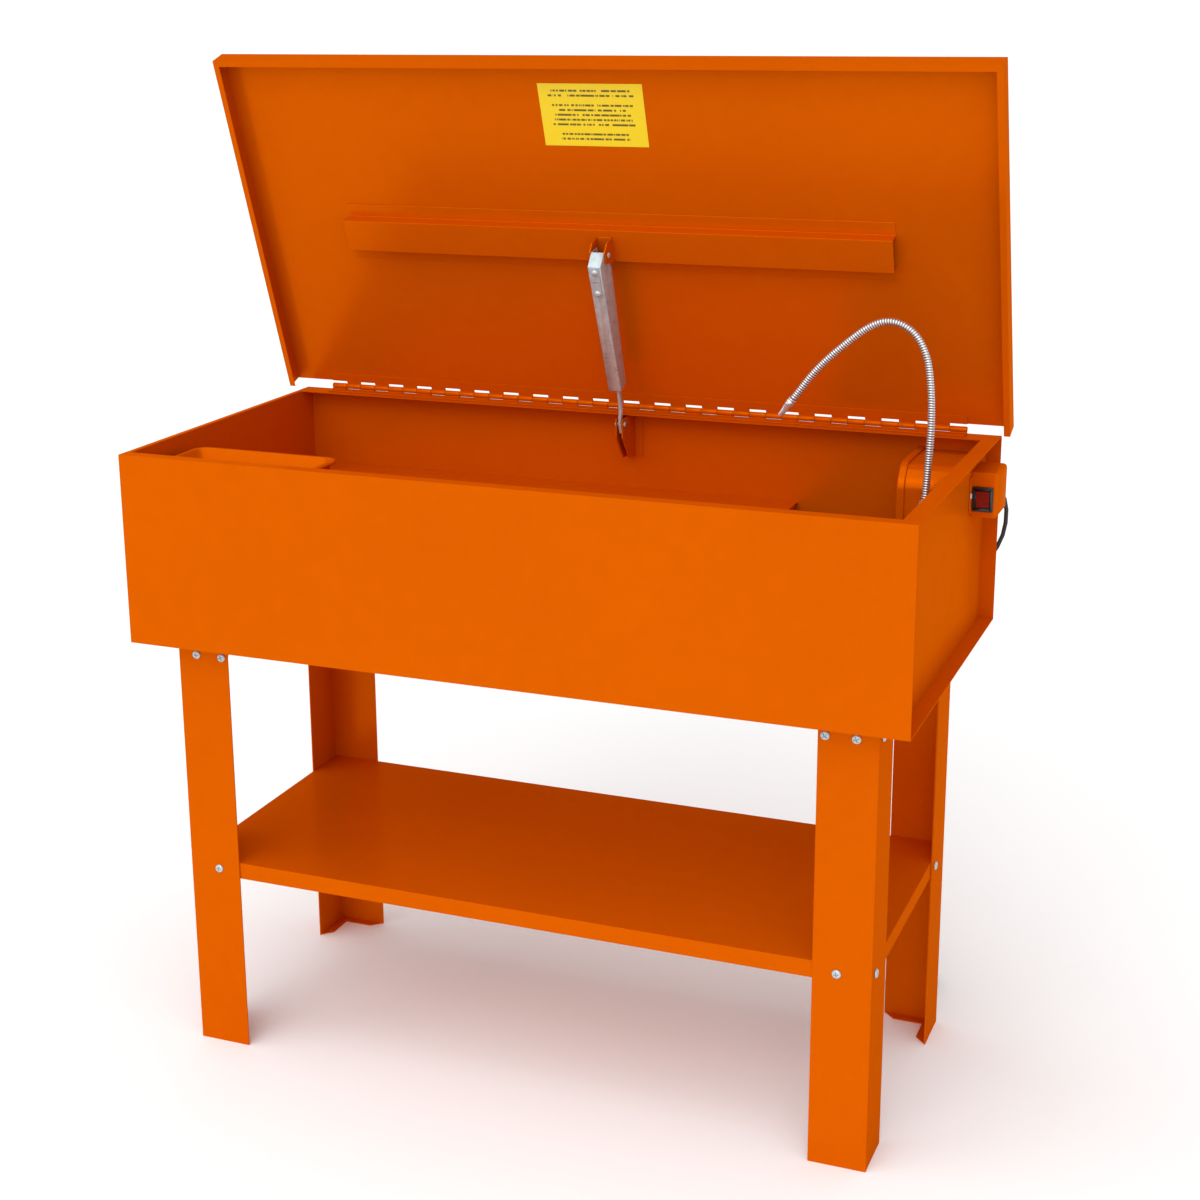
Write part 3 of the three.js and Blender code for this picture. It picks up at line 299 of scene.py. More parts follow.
def ringed_chrome():
    """Chrome whose grooves are darkened with painted shade, read from the piece's own groove attribute."""
    chrome = Finish("ringed_chrome", {"Base Color": (0.7, 0.7, 0.71, 1), "Metallic": 0.8})
    groove = chrome.node("ShaderNodeAttribute", {"attribute_name": "groove"}, {}, "Fac")
    haze = chrome.noise(chrome.place(), 160, 3.0, 0.6)
    # Painted shade: the base colour goes from bright chrome to near black in the grooves.
    chrome.set("Base Color", chrome.blend(groove, (0.72, 0.72, 0.72, 1), (0.24, 0.23, 0.22, 1)))
    chrome.set("Roughness", haze * 0.14 + groove * 0.25 + 0.06)
    return chrome.material


def moulded(name, tone, rough, grain=900):
    plastic = Finish(name, {"Base Color": tone, "Specular IOR Level": 0.5})
    place = plastic.place()
    texture = plastic.noise(place, grain, 2.0, 0.55)
    wear = plastic.noise(place, 60, 3.0, 0.6)
    plastic.set("Base Color", plastic.blend(wear, shade(tone, 0.85), shade(tone, 1.25)))
    plastic.set("Roughness", texture * 0.12 + wear * 0.08 + (rough - 0.1))
    plastic.set("Normal", plastic.bump(texture, 0.12, 0.0002))
    return plastic.material


def black_plastic():
    return moulded("black_plastic", (0.012, 0.012, 0.013, 1), 0.36)


def black_rubber():
    return moulded("black_rubber", (0.011, 0.011, 0.011, 1), 0.55, 1400)


def red_rocker():
    return moulded("red_rocker", tuple(bpy.context.scene.washer_paint.rocker), 0.24, 500)


def label_film():
    """Yellow film with generic printed bars, one row below the other."""
    paint = bpy.context.scene.washer_paint
    film = Finish("label_film", {"Base Color": paint.label, "Roughness": 0.42})
    across = film.node("ShaderNodeAttribute", {"attribute_name": "across"}, {}, "Fac")
    down = film.node("ShaderNodeAttribute", {"attribute_name": "down"}, {}, "Fac")
    rows = down * 13.0
    row = rows.maths("FLOOR")
    inside = abs(rows - row - 0.5)
    reach = film.node("ShaderNodeTexWhiteNoise", {"noise_dimensions": "1D"}, {"W": row + 3.5}, "Value")
    half_length = reach * 0.12 + 0.3
    words = film.noise(film.node("ShaderNodeCombineXYZ", {}, {0: across * 60.0, 1: row * 7.3}), 1.0, 0.0)
    bar = (abs(across - 0.5) < half_length) * (inside < 0.21) * (words > 0.42)
    printed_rows = ((abs(row - 6.0) > 3.6) + (abs(row - 6.0) < 2.6)).maths("MINIMUM", 1.0)
    bar = bar * printed_rows * (row > 0.5) * (row < 11.5)
    print_noise = film.noise(film.place(), 420, 2.0)
    yellow = film.blend(print_noise, shade(paint.label, 0.93), tuple(paint.label))
    film.set("Base Color", film.blend(bar * 0.88, yellow, (0.03, 0.022, 0.01, 1)))
    film.set("Roughness", print_noise * 0.1 + 0.34)
    return film.material


def studio_floor():
    tone = tuple(bpy.context.scene.washer_stage.floor)
    floor = Finish("studio_floor", {"Base Color": tone, "Roughness": 0.75})
    cloud = floor.noise(floor.place(), 0.9, 3.0)
    floor.set("Base Color", floor.blend(cloud, shade(tone, 0.985), tone))
    return floor.material


FINISHES = {
    "powder": (powder_coat, "orange_paint"),
    "zinc": (zinc_plate, "zinc"),
    "chrome": (bright_chrome, "chrome"),
    "rings": (ringed_chrome, "chrome"),
    "plastic": (black_plastic, "black_plastic"),
    "rubber": (black_rubber, "rubber"),
    "rocker": (red_rocker, "red_plastic"),
    "label": (label_film, "yellow_label"),
}
made_finishes = {}


def finish(name):
    if name not in made_finishes:
        made_finishes[name] = FINISHES[name][0]()
    return made_finishes[name]


# ---------- pieces ----------
def piece(name, bm, look, body, replaces=(), smooth=True):
    """Turns a bmesh into a finished piece that rides on a body and stands for CAD nodes."""
    mesh = bpy.data.meshes.new(name)
    bm.to_mesh(mesh)
    bm.free()
    for face in mesh.polygons:
        face.use_smooth = smooth
    mesh.materials.append(finish(look))
    made = bpy.data.objects.new(name, mesh)
    bpy.context.scene.collection.objects.link(made)
    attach(made, body)
    if replaces:
        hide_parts(*replaces)
    return made


def rounded(obj, width, segments=2, limit=30, harden=True):
    """Rounds what is still sharp. Hardened normals keep the flat faces flat in the shading."""
    bevel = obj.modifiers.new("Edges", "BEVEL")
    bevel.width = width
    bevel.segments = segments
    bevel.limit_method = "ANGLE"
    bevel.angle_limit = math.radians(limit)
    bevel.harden_normals = harden
    bevel.miter_outer = "MITER_ARC"
    return obj


def bevelled(bm, edges, offset, segments):
    bmesh.ops.bevel(
        bm, geom=edges, offset=offset, offset_type="OFFSET", affect="EDGES", segments=segments,
        profile=0.5, material=-1, clamp_overlap=True)


def merged_copy(node):
    """A copy of a frame node's mesh with its loose triangles joined."""
    bm = bmesh.new()
    bm.from_mesh(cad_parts[node].data)
    bmesh.ops.remove_doubles(bm, verts=bm.verts, dist=0.00001)
    return bm


def sheet_piece(node, body):
    """A painted sheet metal piece with its folds and cut edges rounded."""
    made = piece(node + "_sheet", merged_copy(node), "powder", body, [node], smooth=False)
    return rounded(made, bpy.context.scene.washer_sheet.edge, 3, harden=False)


def dressed(node, look, body, width, segments=2, limit=30):
    """A piece that keeps its frame node's shape, with its edges rounded."""
    made = piece(node + "_piece", merged_copy(node), look, body, [node])
    return rounded(made, width, segments, limit)


def turned(profile, steps=32):
    """Spins (radius, height) points in metres round Z into one closed skin."""
    bm = bmesh.new()
    verts = [bm.verts.new((r, 0, z)) for r, z in profile]
    edges = [bm.edges.new(pair) for pair in zip(verts, verts[1:])]
    bmesh.ops.spin(
        bm, geom=verts + edges, cent=(0, 0, 0), axis=(0, 0, 1), dvec=(0, 0, 0), angle=FULL,
        steps=steps, use_merge=True)
    bmesh.ops.remove_doubles(bm, verts=bm.verts, dist=0.000001)
    bmesh.ops.recalc_face_normals(bm, faces=bm.faces)
    return bm


def turned_mm(profile, steps=32):
    return turned([(r * MM, z * MM) for r, z in profile], steps)


def aim(bm, place, direction):
    """Turns a piece made on Z so that it points along a direction from a place."""
    turn = Vector((0, 0, 1)).rotation_difference(Vector(direction)).to_matrix().to_4x4()
    bmesh.ops.transform(bm, matrix=Matrix.Translation(Vector(place)) @ turn, verts=bm.verts)
    return bm


def block(bm, low, high):
    low, high = Vector(low) * MM, Vector(high) * MM
    size = high - low
    place = Matrix.Translation((low + high) / 2) @ Matrix.Diagonal((*size, 1))
    return bmesh.ops.create_cube(bm, size=1, matrix=place)["verts"]


def smooth_line(points, spacing):
    """Points a fixed spacing apart on a Catmull-Rom curve through the given ones."""
    line = []
    padded = [2 * points[0] - points[1], *points, 2 * points[-1] - points[-2]]
    for a, b, c, d in zip(padded, padded[1:], padded[2:], padded[3:]):
        steps = max(2, round((c - b).length / (spacing * 0.2)))
        for i in range(steps):
            t = i / steps
            line.append(0.5 * (2 * b + (c - a) * t + (2 * a - 5 * b + 4 * c - d) * t ** 2
                               + (3 * b - a - 3 * c + d) * t ** 3))
    line.append(points[-1].copy())
    even, travelled = [line[0]], 0.0
    for before, after in zip(line, line[1:]):
        step = (after - before).length
        while travelled + step >= spacing * len(even):
            share_of_step = (spacing * len(even) - travelled) / step
            even.append(before.lerp(after, share_of_step))
        travelled += step
    return even


def swept(line, radius_at, sides):
    """A round skin along a line: a circle that is extruded from station to station."""
    bm = bmesh.new()
    bm.verts.layers.float.new("groove")
    heading = (line[1] - line[0]).normalized()
    turn = Vector((0, 0, 1)).rotation_difference(heading)
    place = Matrix.Translation(line[0]) @ turn.to_matrix().to_4x4()
    ring = bmesh.ops.create_circle(bm, cap_ends=True, segments=sides, radius=1, matrix=place)["verts"]
    bmesh.ops.scale(bm, vec=(radius_at(0),) * 3, space=Matrix.Translation(-line[0]), verts=ring)
    loop = list(bm.edges)
    for index in range(1, len(line)):
        grown = bmesh.ops.extrude_edge_only(bm, edges=loop)["geom"]
        ring = [g for g in grown if isinstance(g, bmesh.types.BMVert)]
        loop = [g for g in grown if isinstance(g, bmesh.types.BMEdge) and g.is_boundary]
        after = line[min(index + 1, len(line) - 1)]
        new_heading = (after - line[index - 1]).normalized()
        spin = heading.rotation_difference(new_heading).to_matrix().to_4x4()
        size = radius_at(index) / radius_at(index - 1)
        back = Matrix.Translation(-line[index - 1])
        move = Matrix.Translation(line[index]) @ spin @ Matrix.Scale(size, 4) @ back
        bmesh.ops.transform(bm, matrix=move, verts=ring)
        heading = new_heading
    bmesh.ops.contextual_create(bm, geom=loop)
    bmesh.ops.recalc_face_normals(bm, faces=bm.faces)
    return bm


def outline_block(outline, axis, start, end, rounds=()):
    """A closed (u, v) outline in millimetres, its corners rounded, extruded along an axis."""
    lay = {
        "X": lambda a, u, v: (a, u, v),
        "Z": lambda a, u, v: (u, v, a),
    }[axis]
    bm = bmesh.new()
    verts = [bm.verts.new(Vector(lay(start, u, v)) * MM) for u, v in outline]
    bm.faces.new(verts)
    for corner, radius in rounds:
        bmesh.ops.bevel(
            bm, geom=[verts[corner]], offset=radius * MM, offset_type="OFFSET", affect="VERTICES",
            segments=6, profile=0.5, material=-1)
    grown = bmesh.ops.extrude_face_region(bm, geom=list(bm.faces))["geom"]
    moved = [g for g in grown if isinstance(g, bmesh.types.BMVert)]
    bmesh.ops.translate(bm, vec=Vector(lay(end - start, 0, 0)) * MM, verts=moved)
    bmesh.ops.recalc_face_normals(bm, faces=bm.faces)
    return bm


def merge_bmesh(target, other):
    """Adds another bmesh's shape to the target and frees it."""
    mesh = bpy.data.meshes.new("part")
    other.to_mesh(mesh)
    other.free()
    target.from_mesh(mesh)
    bpy.data.meshes.remove(mesh)
    return target


def crossed_head(profile, arm, depth, steps=24):
    """A pan head: the profile spun round Z, its open top closed by a sunk cross recess."""
    bm = turned_mm(profile, steps)
    rim = [e for e in bm.edges if e.is_boundary]
    top = profile[-1][1] * MM
    half = arm[0] / 2 * MM
    reach = arm[1] / 2 * MM
    corners = []
    for quarter in range(4):
        turn = Matrix.Rotation(quarter * math.pi / 2, 3, "Z")
        for x, y in ((reach, -half), (reach, half), (half, half)):
            corners.append(bm.verts.new(turn @ Vector((x, y, top))))
    cross = [bm.edges.new(pair) for pair in zip(corners, corners[1:] + corners[:1])]
    bmesh.ops.bridge_loops(bm, edges=rim + cross)
    sunk = bmesh.ops.extrude_edge_only(bm, edges=cross)["geom"]
    floor = [g for g in sunk if isinstance(g, bmesh.types.BMVert)]
    bmesh.ops.translate(bm, vec=(0, 0, -depth * MM), verts=floor)
    bmesh.ops.scale(bm, vec=(0.8, 0.8, 1), verts=floor)
    floor_edges = [g for g in sunk if isinstance(g, bmesh.types.BMEdge) and g.is_boundary]
    bmesh.ops.contextual_create(bm, geom=floor_edges)
    bmesh.ops.recalc_face_normals(bm, faces=bm.faces)
    return bm


# ---------- operators ----------
class WASHER_OT_stage(bpy.types.Operator):
    """Camera, floor and soft studio light"""

    bl_idname = "washer.stage"
    bl_label = "Stage"

    def execute(self, context):
        scene, stage = context.scene, context.scene.washer_stage
        camera_data = bpy.data.cameras.new("camera")
        camera_data.sensor_width = 36
        camera_data.lens = stage.lens
        camera_data.shift_x, camera_data.shift_y = CAMERA_SHIFT
        camera = bpy.data.objects.new("camera", camera_data)
        around, down, roll = (math.radians(angle) for angle in CAMERA_ANGLES)
        level = math.cos(down)
        forward = Vector((-math.sin(around) * level, math.cos(around) * level, -math.sin(down)))
        right = forward.cross(Vector((0, 0, 1))).normalized()
        up = right.cross(forward)
        rolled_right = right * math.cos(roll) + up * math.sin(roll)
        rolled_up = up * math.cos(roll) - right * math.sin(roll)
        turn = Matrix((rolled_right, rolled_up, -forward)).transposed().to_4x4()
        camera.matrix_world = Matrix.Translation(CAMERA_PLACE) @ turn
        scene.collection.objects.link(camera)
        scene.camera = camera
        scene.view_settings.view_transform = "Standard"

        bm = bmesh.new()
        bmesh.ops.create_grid(bm, x_segments=8, y_segments=8, size=30)
        mesh = bpy.data.meshes.new("floor")
        bm.to_mesh(mesh)
        bm.free()
        mesh.materials.append(studio_floor())
        floor = bpy.data.objects.new("floor", mesh)
        scene.collection.objects.link(floor)

        self.backdrop(stage)
        lamps = (
            ("top", 65, -14, stage.top, 80),
            ("front", 28, 4, stage.front, 50),
        )
        for name, rise, aside, strength, spread in lamps:
            data = bpy.data.lights.new(name, "SUN")
            data.energy = strength
            data.angle = math.radians(spread)
            lamp = bpy.data.objects.new(name, data)
            rise, aside = math.radians(rise), math.radians(aside)
            level = math.cos(rise)
            towards = Vector((math.sin(aside) * level, -math.cos(aside) * level, math.sin(rise)))
            turn = (-towards).to_track_quat("-Z", "Y").to_matrix().to_4x4()
            lamp.matrix_world = Matrix.Translation(towards * 4) @ turn
            scene.collection.objects.link(lamp)
        return {"FINISHED"}

    def backdrop(self, stage):
        """Even light from above and a brighter band all round, where the studio's backdrop stands."""
        world = bpy.data.worlds.new("studio")
        world.use_nodes = True
        nodes, links = world.node_tree.nodes, world.node_tree.links
        place = nodes.new("ShaderNodeTexCoord")
        split = nodes.new("ShaderNodeSeparateXYZ")
        rise = nodes.new("ShaderNodeMapRange")
        rise.inputs["From Min"].default_value = 0.15
        rise.inputs["From Max"].default_value = 0.5
        rise.inputs["To Min"].default_value = stage.band
        rise.inputs["To Max"].default_value = stage.sky
        links.new(place.outputs["Generated"], split.inputs["Vector"])
        links.new(split.outputs["Z"], rise.inputs["Value"])
        background = nodes["Background"]
        background.inputs["Color"].default_value = (1, 1, 1, 1)
        links.new(rise.outputs["Result"], background.inputs["Strength"])
        bpy.context.scene.world = world


class WASHER_OT_cord(bpy.types.Operator):
    """Power lead with its coil, plug and strain relief"""

    bl_idname = "washer.cord"
    bl_label = "Power lead"

    def execute(self, context):
        cord = context.scene.washer_cord
        radius = cord.diameter / 2
        line = self.route(cord, radius)
        total = sum((b - a).length for a, b in zip(line, line[1:]))
        lead = self.lead(line, radius)
        plug = self.plug()
        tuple(line[0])
        self.relief()
        return {"FINISHED"}

    def route(self, cord, radius):
        """From the switch box down behind the leg, onto the floor, round the coil and out to the plug."""
        centre = Vector((*COIL_CENTRE, 0)) * MM
        outer, inner = cord.coil + radius, cord.coil - radius
        line = smooth_line([Vector(p) * MM for p in CORD_ROUTE], 0.02)
        landing = math.radians(-60)
        land = centre + Vector((math.cos(landing), math.sin(landing), 0)) * outer
        heading = Vector((-math.sin(landing), math.cos(landing), 0))
        for step in range(7):
            angle = step / 6 * math.pi / 2
            ahead = cord.bend * (1 - math.cos(angle)) - cord.bend
            rise = Vector((0, 0, radius + cord.bend * (1 - math.sin(angle))))
            line.append(land + heading * ahead + rise)
        above, top = radius * 3, radius * 3.4
        stations = [(-60, outer, radius), (290, outer, radius), (340, inner, radius), (650, inner, radius),
                    (700, inner, above), (1010, inner, above), (1060, outer, above), (1260, outer, top)]
        for (a0, r0, z0), (a1, r1, z1) in zip(stations, stations[1:]):
            steps = round((a1 - a0) / 12)
            for i in range(1, steps + 1):
                t = i / steps
                ease = t * t * (3 - 2 * t)
                angle = math.radians(a0 + (a1 - a0) * t)
                reach = r0 + (r1 - r0) * ease
                height = z0 + (z1 - z0) * ease
                line.append(centre + Vector((math.cos(angle) * reach, math.sin(angle) * reach, height)))
        turn_centre = centre + Vector((cord.bend - outer, 0, 0))
        for step in range(1, 13):
            t = step / 12
            angle = math.pi * (1 + t)
            height = top + (PLUG_AXIS_Z - top) * (t * t * (3 - 2 * t))
            reach = Vector((math.cos(angle) * cord.bend, math.sin(angle) * cord.bend, height))
            line.append(turn_centre + reach)
        return [p for i, p in enumerate(line) if i == 0 or (p - line[i - 1]).length > 0.001]

    def lead(self, line, radius):
        curve = bpy.data.curves.new("power_lead", "CURVE")
        curve.dimensions = "3D"
        curve.bevel_depth = radius
        curve.bevel_resolution = 5
        curve.use_fill_caps = True
        curve.materials.append(finish("rubber"))
        spline = curve.splines.new("POLY")
        spline.points.add(len(line) - 1)
        for point, place in zip(spline.points, line):
            point.co = (*place, 1)
        spline.use_smooth = True
        lead = bpy.data.objects.new("power_lead", curve)
        bpy.context.scene.collection.objects.link(lead)
        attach(lead, "tank")
        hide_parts("power_cord", "cord_coil")
        return lead

    def plug(self):
        """A moulded plug with a waisted body and flat pins, its nose pointing away from the tank."""
        low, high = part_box("plug")
        x = (low.x + high.x) / 2 / MM
        y, z = low.y / MM, low.z / MM
        outline = [(-10, 4), (-14, 10), (-14, 34), (-8, 42), (8, 42), (14, 34), (14, 10), (10, 4)]
        bm = outline_block([(x + u, y + v) for u, v in outline], "Z", z, z + 20,
                           [(i, 3) for i in (1, 2, 3, 4, 5, 6)])
        bevelled(bm, [e for e in bm.edges if e.calc_face_angle(0) > 1.2], 0.003, 4)
        collar = turned_mm([(0, 0), (4.2, 0), (5, 1), (5.6, 6), (7.2, 10), (0, 10)], 20)
        merge_bmesh(bm, aim(collar, (x * MM, (y - 2) * MM, PLUG_AXIS_Z), (0, 1, 0)))
        for ridge in range(3):
            ring = turned_mm([(4, 0), (6.4, 0.2), (6.4, 1.4), (4, 1.6)], 20)
            merge_bmesh(bm, aim(ring, (x * MM, (y + ridge * 2.6) * MM, PLUG_AXIS_Z), (0, 1, 0)))
        made = piece("plug_moulding", bm, "rubber", "tank", ["plug"])
        rounded(made, 0.0004)
        pins = bmesh.new()
        for side in (-7, 7):
            block(pins, (x + side - 3, y + 41, z + 8), (x + side + 3, y + 57, z + 10))
        block(pins, (x - 2.2, y + 41, z + 13), (x + 2.2, y + 59, z + 17))
        metal = piece("plug_pins", pins, "zinc", "tank")
        rounded(metal, 0.0004)
        metal.parent = made
        metal.matrix_parent_inverse = Matrix.Identity(4)
        return made

    def relief(self):
        """A ribbed, tapered sleeve where the lead leaves the switch box."""
        low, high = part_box("strain_relief")
        span = (high.y - low.y) / MM
        profile = [(0, 0), (8.8, 0), (9, 0.4), (9, 2.6), (8.4, 3), (6.6, 3.4)]
        ribs = 5
        pitch = (span - 6.2) / ribs
        for rib in range(ribs):
            t = 4.2 + (span - 6.2) * rib / ribs
            r = 6.4 - 1.9 * rib / ribs
            profile += [(r, t), (r, t + pitch * 0.5)]
            profile += [(r - 1.1, t + pitch * 0.62), (r - 1.2, t + pitch * 0.92)]
        profile += [(4.3, span - 1.6), (3.7, span), (0, span)]
        bm = aim(turned_mm(profile, 28), ((low.x + high.x) / 2, low.y, (low.z + high.z) / 2), (0, 1, 0))
        rounded(piece("strain_relief_sleeve", bm, "rubber", "tank", ["strain_relief"]), 0.0002)


class WASHER_OT_tank(bpy.types.Operator):
    """Tank walls and floor of folded, powder-coated sheet"""

    bl_idname = "washer.tank"
    bl_label = "Tank"

    def execute(self, context):
        for node in ("tank_front_panel", "tank_back_panel", "left_end_panel", "right_end_panel"):
            sheet_piece(node, "tank")
        dressed("tank_floor", "powder", "tank", 0.0003)
        for node in ("work_shelf", "shelf_ledge_front", "shelf_ledge_back"):
            sheet_piece(node, "tank")
        dressed("drain_plug", "zinc", "tank", 0.0008, 3)
        return {"FINISHED"}


class WASHER_OT_stand(bpy.types.Operator):
    """Angle legs, their brackets and the bottom shelf"""

    bl_idname = "washer.stand"
    bl_label = "Legs and shelf"

    def execute(self, context):
        for corner in LEG_CORNERS:
            sheet_piece("leg_" + corner, "tank")
            sheet_piece("leg_bracket_" + corner, "tank")
        sheet_piece("bottom_shelf", "tank")
        return {"FINISHED"}


class WASHER_OT_bolts(bpy.types.Operator):
    """Pan head bolts with cross recesses and their nuts"""

    bl_idname = "washer.bolts"
    bl_label = "Leg bolts"

    def head(self):
        pan = [(0, 0.3), (6.3, 0.3), (6.45, 0.6), (6.4, 1.3), (6, 2.1), (5.4, 2.7), (4.6, 3.2)]
        return crossed_head(pan, (1.5, 8.2), 1.9)

    def nut(self, grip):
        start = -grip - 0.6
        shank = turned_mm([(0, start - 7), (2.6, start - 7), (3, start - 6.5), (3, 0.5), (0, 0.5)], 18)
        hexagon = bmesh.new()
        centre = Matrix.Translation((0, 0, (start - 2.5) * MM))
        bmesh.ops.create_cone(hexagon, cap_ends=True, segments=6, radius1=5.8 * MM, radius2=5.8 * MM,
                              depth=5 * MM, matrix=centre)
        return merge_bmesh(shank, hexagon)

    def execute(self, context):
        count = 0
        shapes = {}
        for corner, (x, y) in LEG_CORNERS.items():
            inx, iny = (-1 if x > 0 else 1), (-1 if y > 0 else 1)
            shelf_v = 21 if y < 0 else 61
            spots = [((x + inx * u, y, TOP_BOLT_Z), (0, -iny, 0), 5.3) for u in (30, 72)]
            spots += [((x, y + iny * v, TOP_BOLT_Z), (-inx, 0, 0), 5.3) for v in (21, 61)]
            spots += [((x + inx * 48, y, SHELF_BOLT_Z), (0, -iny, 0), 3.8),
                      ((x, y + iny * shelf_v, SHELF_BOLT_Z), (-inx, 0, 0), 3.8)]
            nodes = {0: "bracket_bolt_" + corner, 4: "shelf_bolt_" + corner}
            for index, (place, out, grip) in enumerate(spots):
                bm = bmesh.new()
                for key, make in (("head", self.head), (grip, lambda: self.nut(grip))):
                    if key not in shapes:
                        shapes[key] = bpy.data.meshes.new("bolt")
                        made = make()
                        made.to_mesh(shapes[key])
                        made.free()
                    bm.from_mesh(shapes[key])
                tightened = Matrix.Rotation(count * 1.9, 3, "Z")
                bmesh.ops.rotate(bm, cent=(0, 0, 0), matrix=tightened, verts=bm.verts)
                aim(bm, Vector(place) * MM, out)
                replaced = [nodes[index]] if index in nodes else []
                bolt = piece(f"bolt_{corner}_{index + 1}", bm, "zinc", "tank", replaced)
                rounded(bolt, 0.00015, 1, 40)
                count += 1
        return {"FINISHED"}


def knuckle_tabs(bm, parity, back, front, foot, top):
    """The strips that join one hinge leaf to its knuckles, every other one along the axis."""
    for index in range(parity, KNUCKLES, 2):
        start = index * KNUCKLE_PITCH - HINGE_HALF
        block(bm, (start + 0.2, back, foot), (start + KNUCKLE_PITCH - 0.2, front, top))


def knuckle_line(bm, parity):
    """The rolled barrels of one hinge leaf, every other one along the axis."""
    for index in range(parity, KNUCKLES, 2):
        middle = Vector(((index + 0.5) * KNUCKLE_PITCH - HINGE_HALF, 0, 0)) * MM
        place = Matrix.Translation(HINGE + middle) @ Matrix.Rotation(math.pi / 2, 4, "Y")
        made = bmesh.ops.create_cone(
            bm, cap_ends=True, segments=20, radius1=KNUCKLE_RADIUS * MM, radius2=KNUCKLE_RADIUS * MM,
            depth=(KNUCKLE_PITCH - 0.5) * MM, matrix=place)
        rims = {e for v in made["verts"] for e in v.link_edges if e.calc_face_angle(0) > 1}
        bevelled(bm, list(rims), 0.0004, 2)


class WASHER_OT_hinge(bpy.types.Operator):
    """Continuous hinge: two leaves with rolled knuckles and the pin"""

    bl_idname = "washer.hinge"
    bl_label = "Hinge"

    def execute(self, context):
        bm = bmesh.new()
        block(bm, (-HINGE_HALF, 249, 930.3), (HINGE_HALF, 270.4, 931.8))
        knuckle_tabs(bm, 0, 266, 272.6, 930.4, 933)
        knuckle_line(bm, 0)
        rounded(piece("hinge_tank_leaf", bm, "powder", "tank", ["hinge_leaf_tank"]), 0.0003)

        turn = Matrix.Translation(HINGE) @ Matrix.Rotation(LID_TURN, 4, "X")
        bm = bmesh.new()
        block(bm, (-HINGE_HALF, -22, 1.5), (HINGE_HALF, -7.85, 3.0))
        knuckle_tabs(bm, 1, -8.5, -2.8, 1.6, 3.0)
        bmesh.ops.transform(bm, matrix=turn, verts=bm.verts)
        knuckle_line(bm, 1)
        rounded(piece("hinge_lid_leaf", bm, "powder", "lid", ["hinge_leaf_lid"]), 0.0003)

        pin = turned_mm([(0, 0), (1.7, 0), (1.9, 0.4), (1.9, 1048.6), (1.7, 1049), (0, 1049)], 14)
        aim(pin, (-0.5245, HINGE.y, HINGE.z), (1, 0, 0))
        piece("hinge_wire", pin, "zinc", "tank", ["hinge_pin"])
        return {"FINISHED"}


class WASHER_OT_lid(bpy.types.Operator):
    """Folded lid with its hat section stiffener and label"""

    bl_idname = "washer.lid"
    bl_label = "Lid"

    def execute(self, context):
        sheet_piece("lid_panel", "lid")
        sheet_piece("lid_stiffener", "lid")
        bm = merged_copy("label_plate")
        across, down = (bm.verts.layers.float.new(name) for name in ("across", "down"))
        low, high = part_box("label_plate")
        for vert in bm.verts:
            vert[across] = (vert.co.x - low.x) / (high.x - low.x)
            vert[down] = (high.z - vert.co.z) / (high.z - low.z)
        piece("label_film", bm, "label", "lid", ["label_plate"], smooth=False)
        return {"FINISHED"}


class WASHER_OT_stay(bpy.types.Operator):
    """Telescoping stay with its brackets, pins, link and rivets"""

    bl_idname = "washer.stay"
    bl_label = "Lid stay"

    def execute(self, context):
        sheet_piece("stay_bracket_upper", "lid")
        sheet_piece("stay_bracket_lower", "tank")
        pins = (("stay_pin_upper", "lid", STAY_PINS[0]), ("stay_pin_lower", "tank", STAY_PINS[1]))
        for node, body, place in pins:
            low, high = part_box(node)
            half = (high.x - low.x) / 2 / MM
            pin = [(0, -half), (3.6, -half), (4.4, -half + 0.7), (4.4, -half + 2), (3, -half + 2.1),
                   (3, half - 2.1), (4.4, half - 2), (4.4, half - 0.7), (3.6, half), (0, half)]
            bm = aim(turned_mm(pin, 24), place, (1, 0, 0))
            piece(node + "_piece", bm, "zinc", body, [node])
        dressed("stay_channel", "zinc", "stay_channel", 0.0005, 2)
        dressed("fusible_link", "zinc", "stay_channel", 0.0003, 2)
        dressed("stay_rod", "zinc", "stay_rod", 0.0005, 2)
        fall = STAY_PINS[0] - STAY_PINS[1]
        channel_turn = Matrix.Rotation(math.atan2(-fall.y, fall.z), 4, "X")
        slope = math.atan((28.6 - 6) / (222 - 7))
        out = (channel_turn @ Matrix.Rotation(slope, 4, "X")).to_3x3() @ Vector((0, -1, 0))
        for node in ("link_rivet_upper", "link_rivet_lower"):
            low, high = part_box(node)
            seat = (low + high) / 2 - out * 0.6 * MM
            rivet = [(0, -5), (2.2, -5), (2.2, 1.9), (5.2, 1.9), (5.3, 2.4), (4.7, 3.7), (3, 4.8),
                     (1.6, 5.2), (0, 5.3)]
            bm = aim(turned_mm(rivet, 24), seat, out)
            piece(node + "_piece", bm, "zinc", "stay_channel", [node])
        return {"FINISHED"}


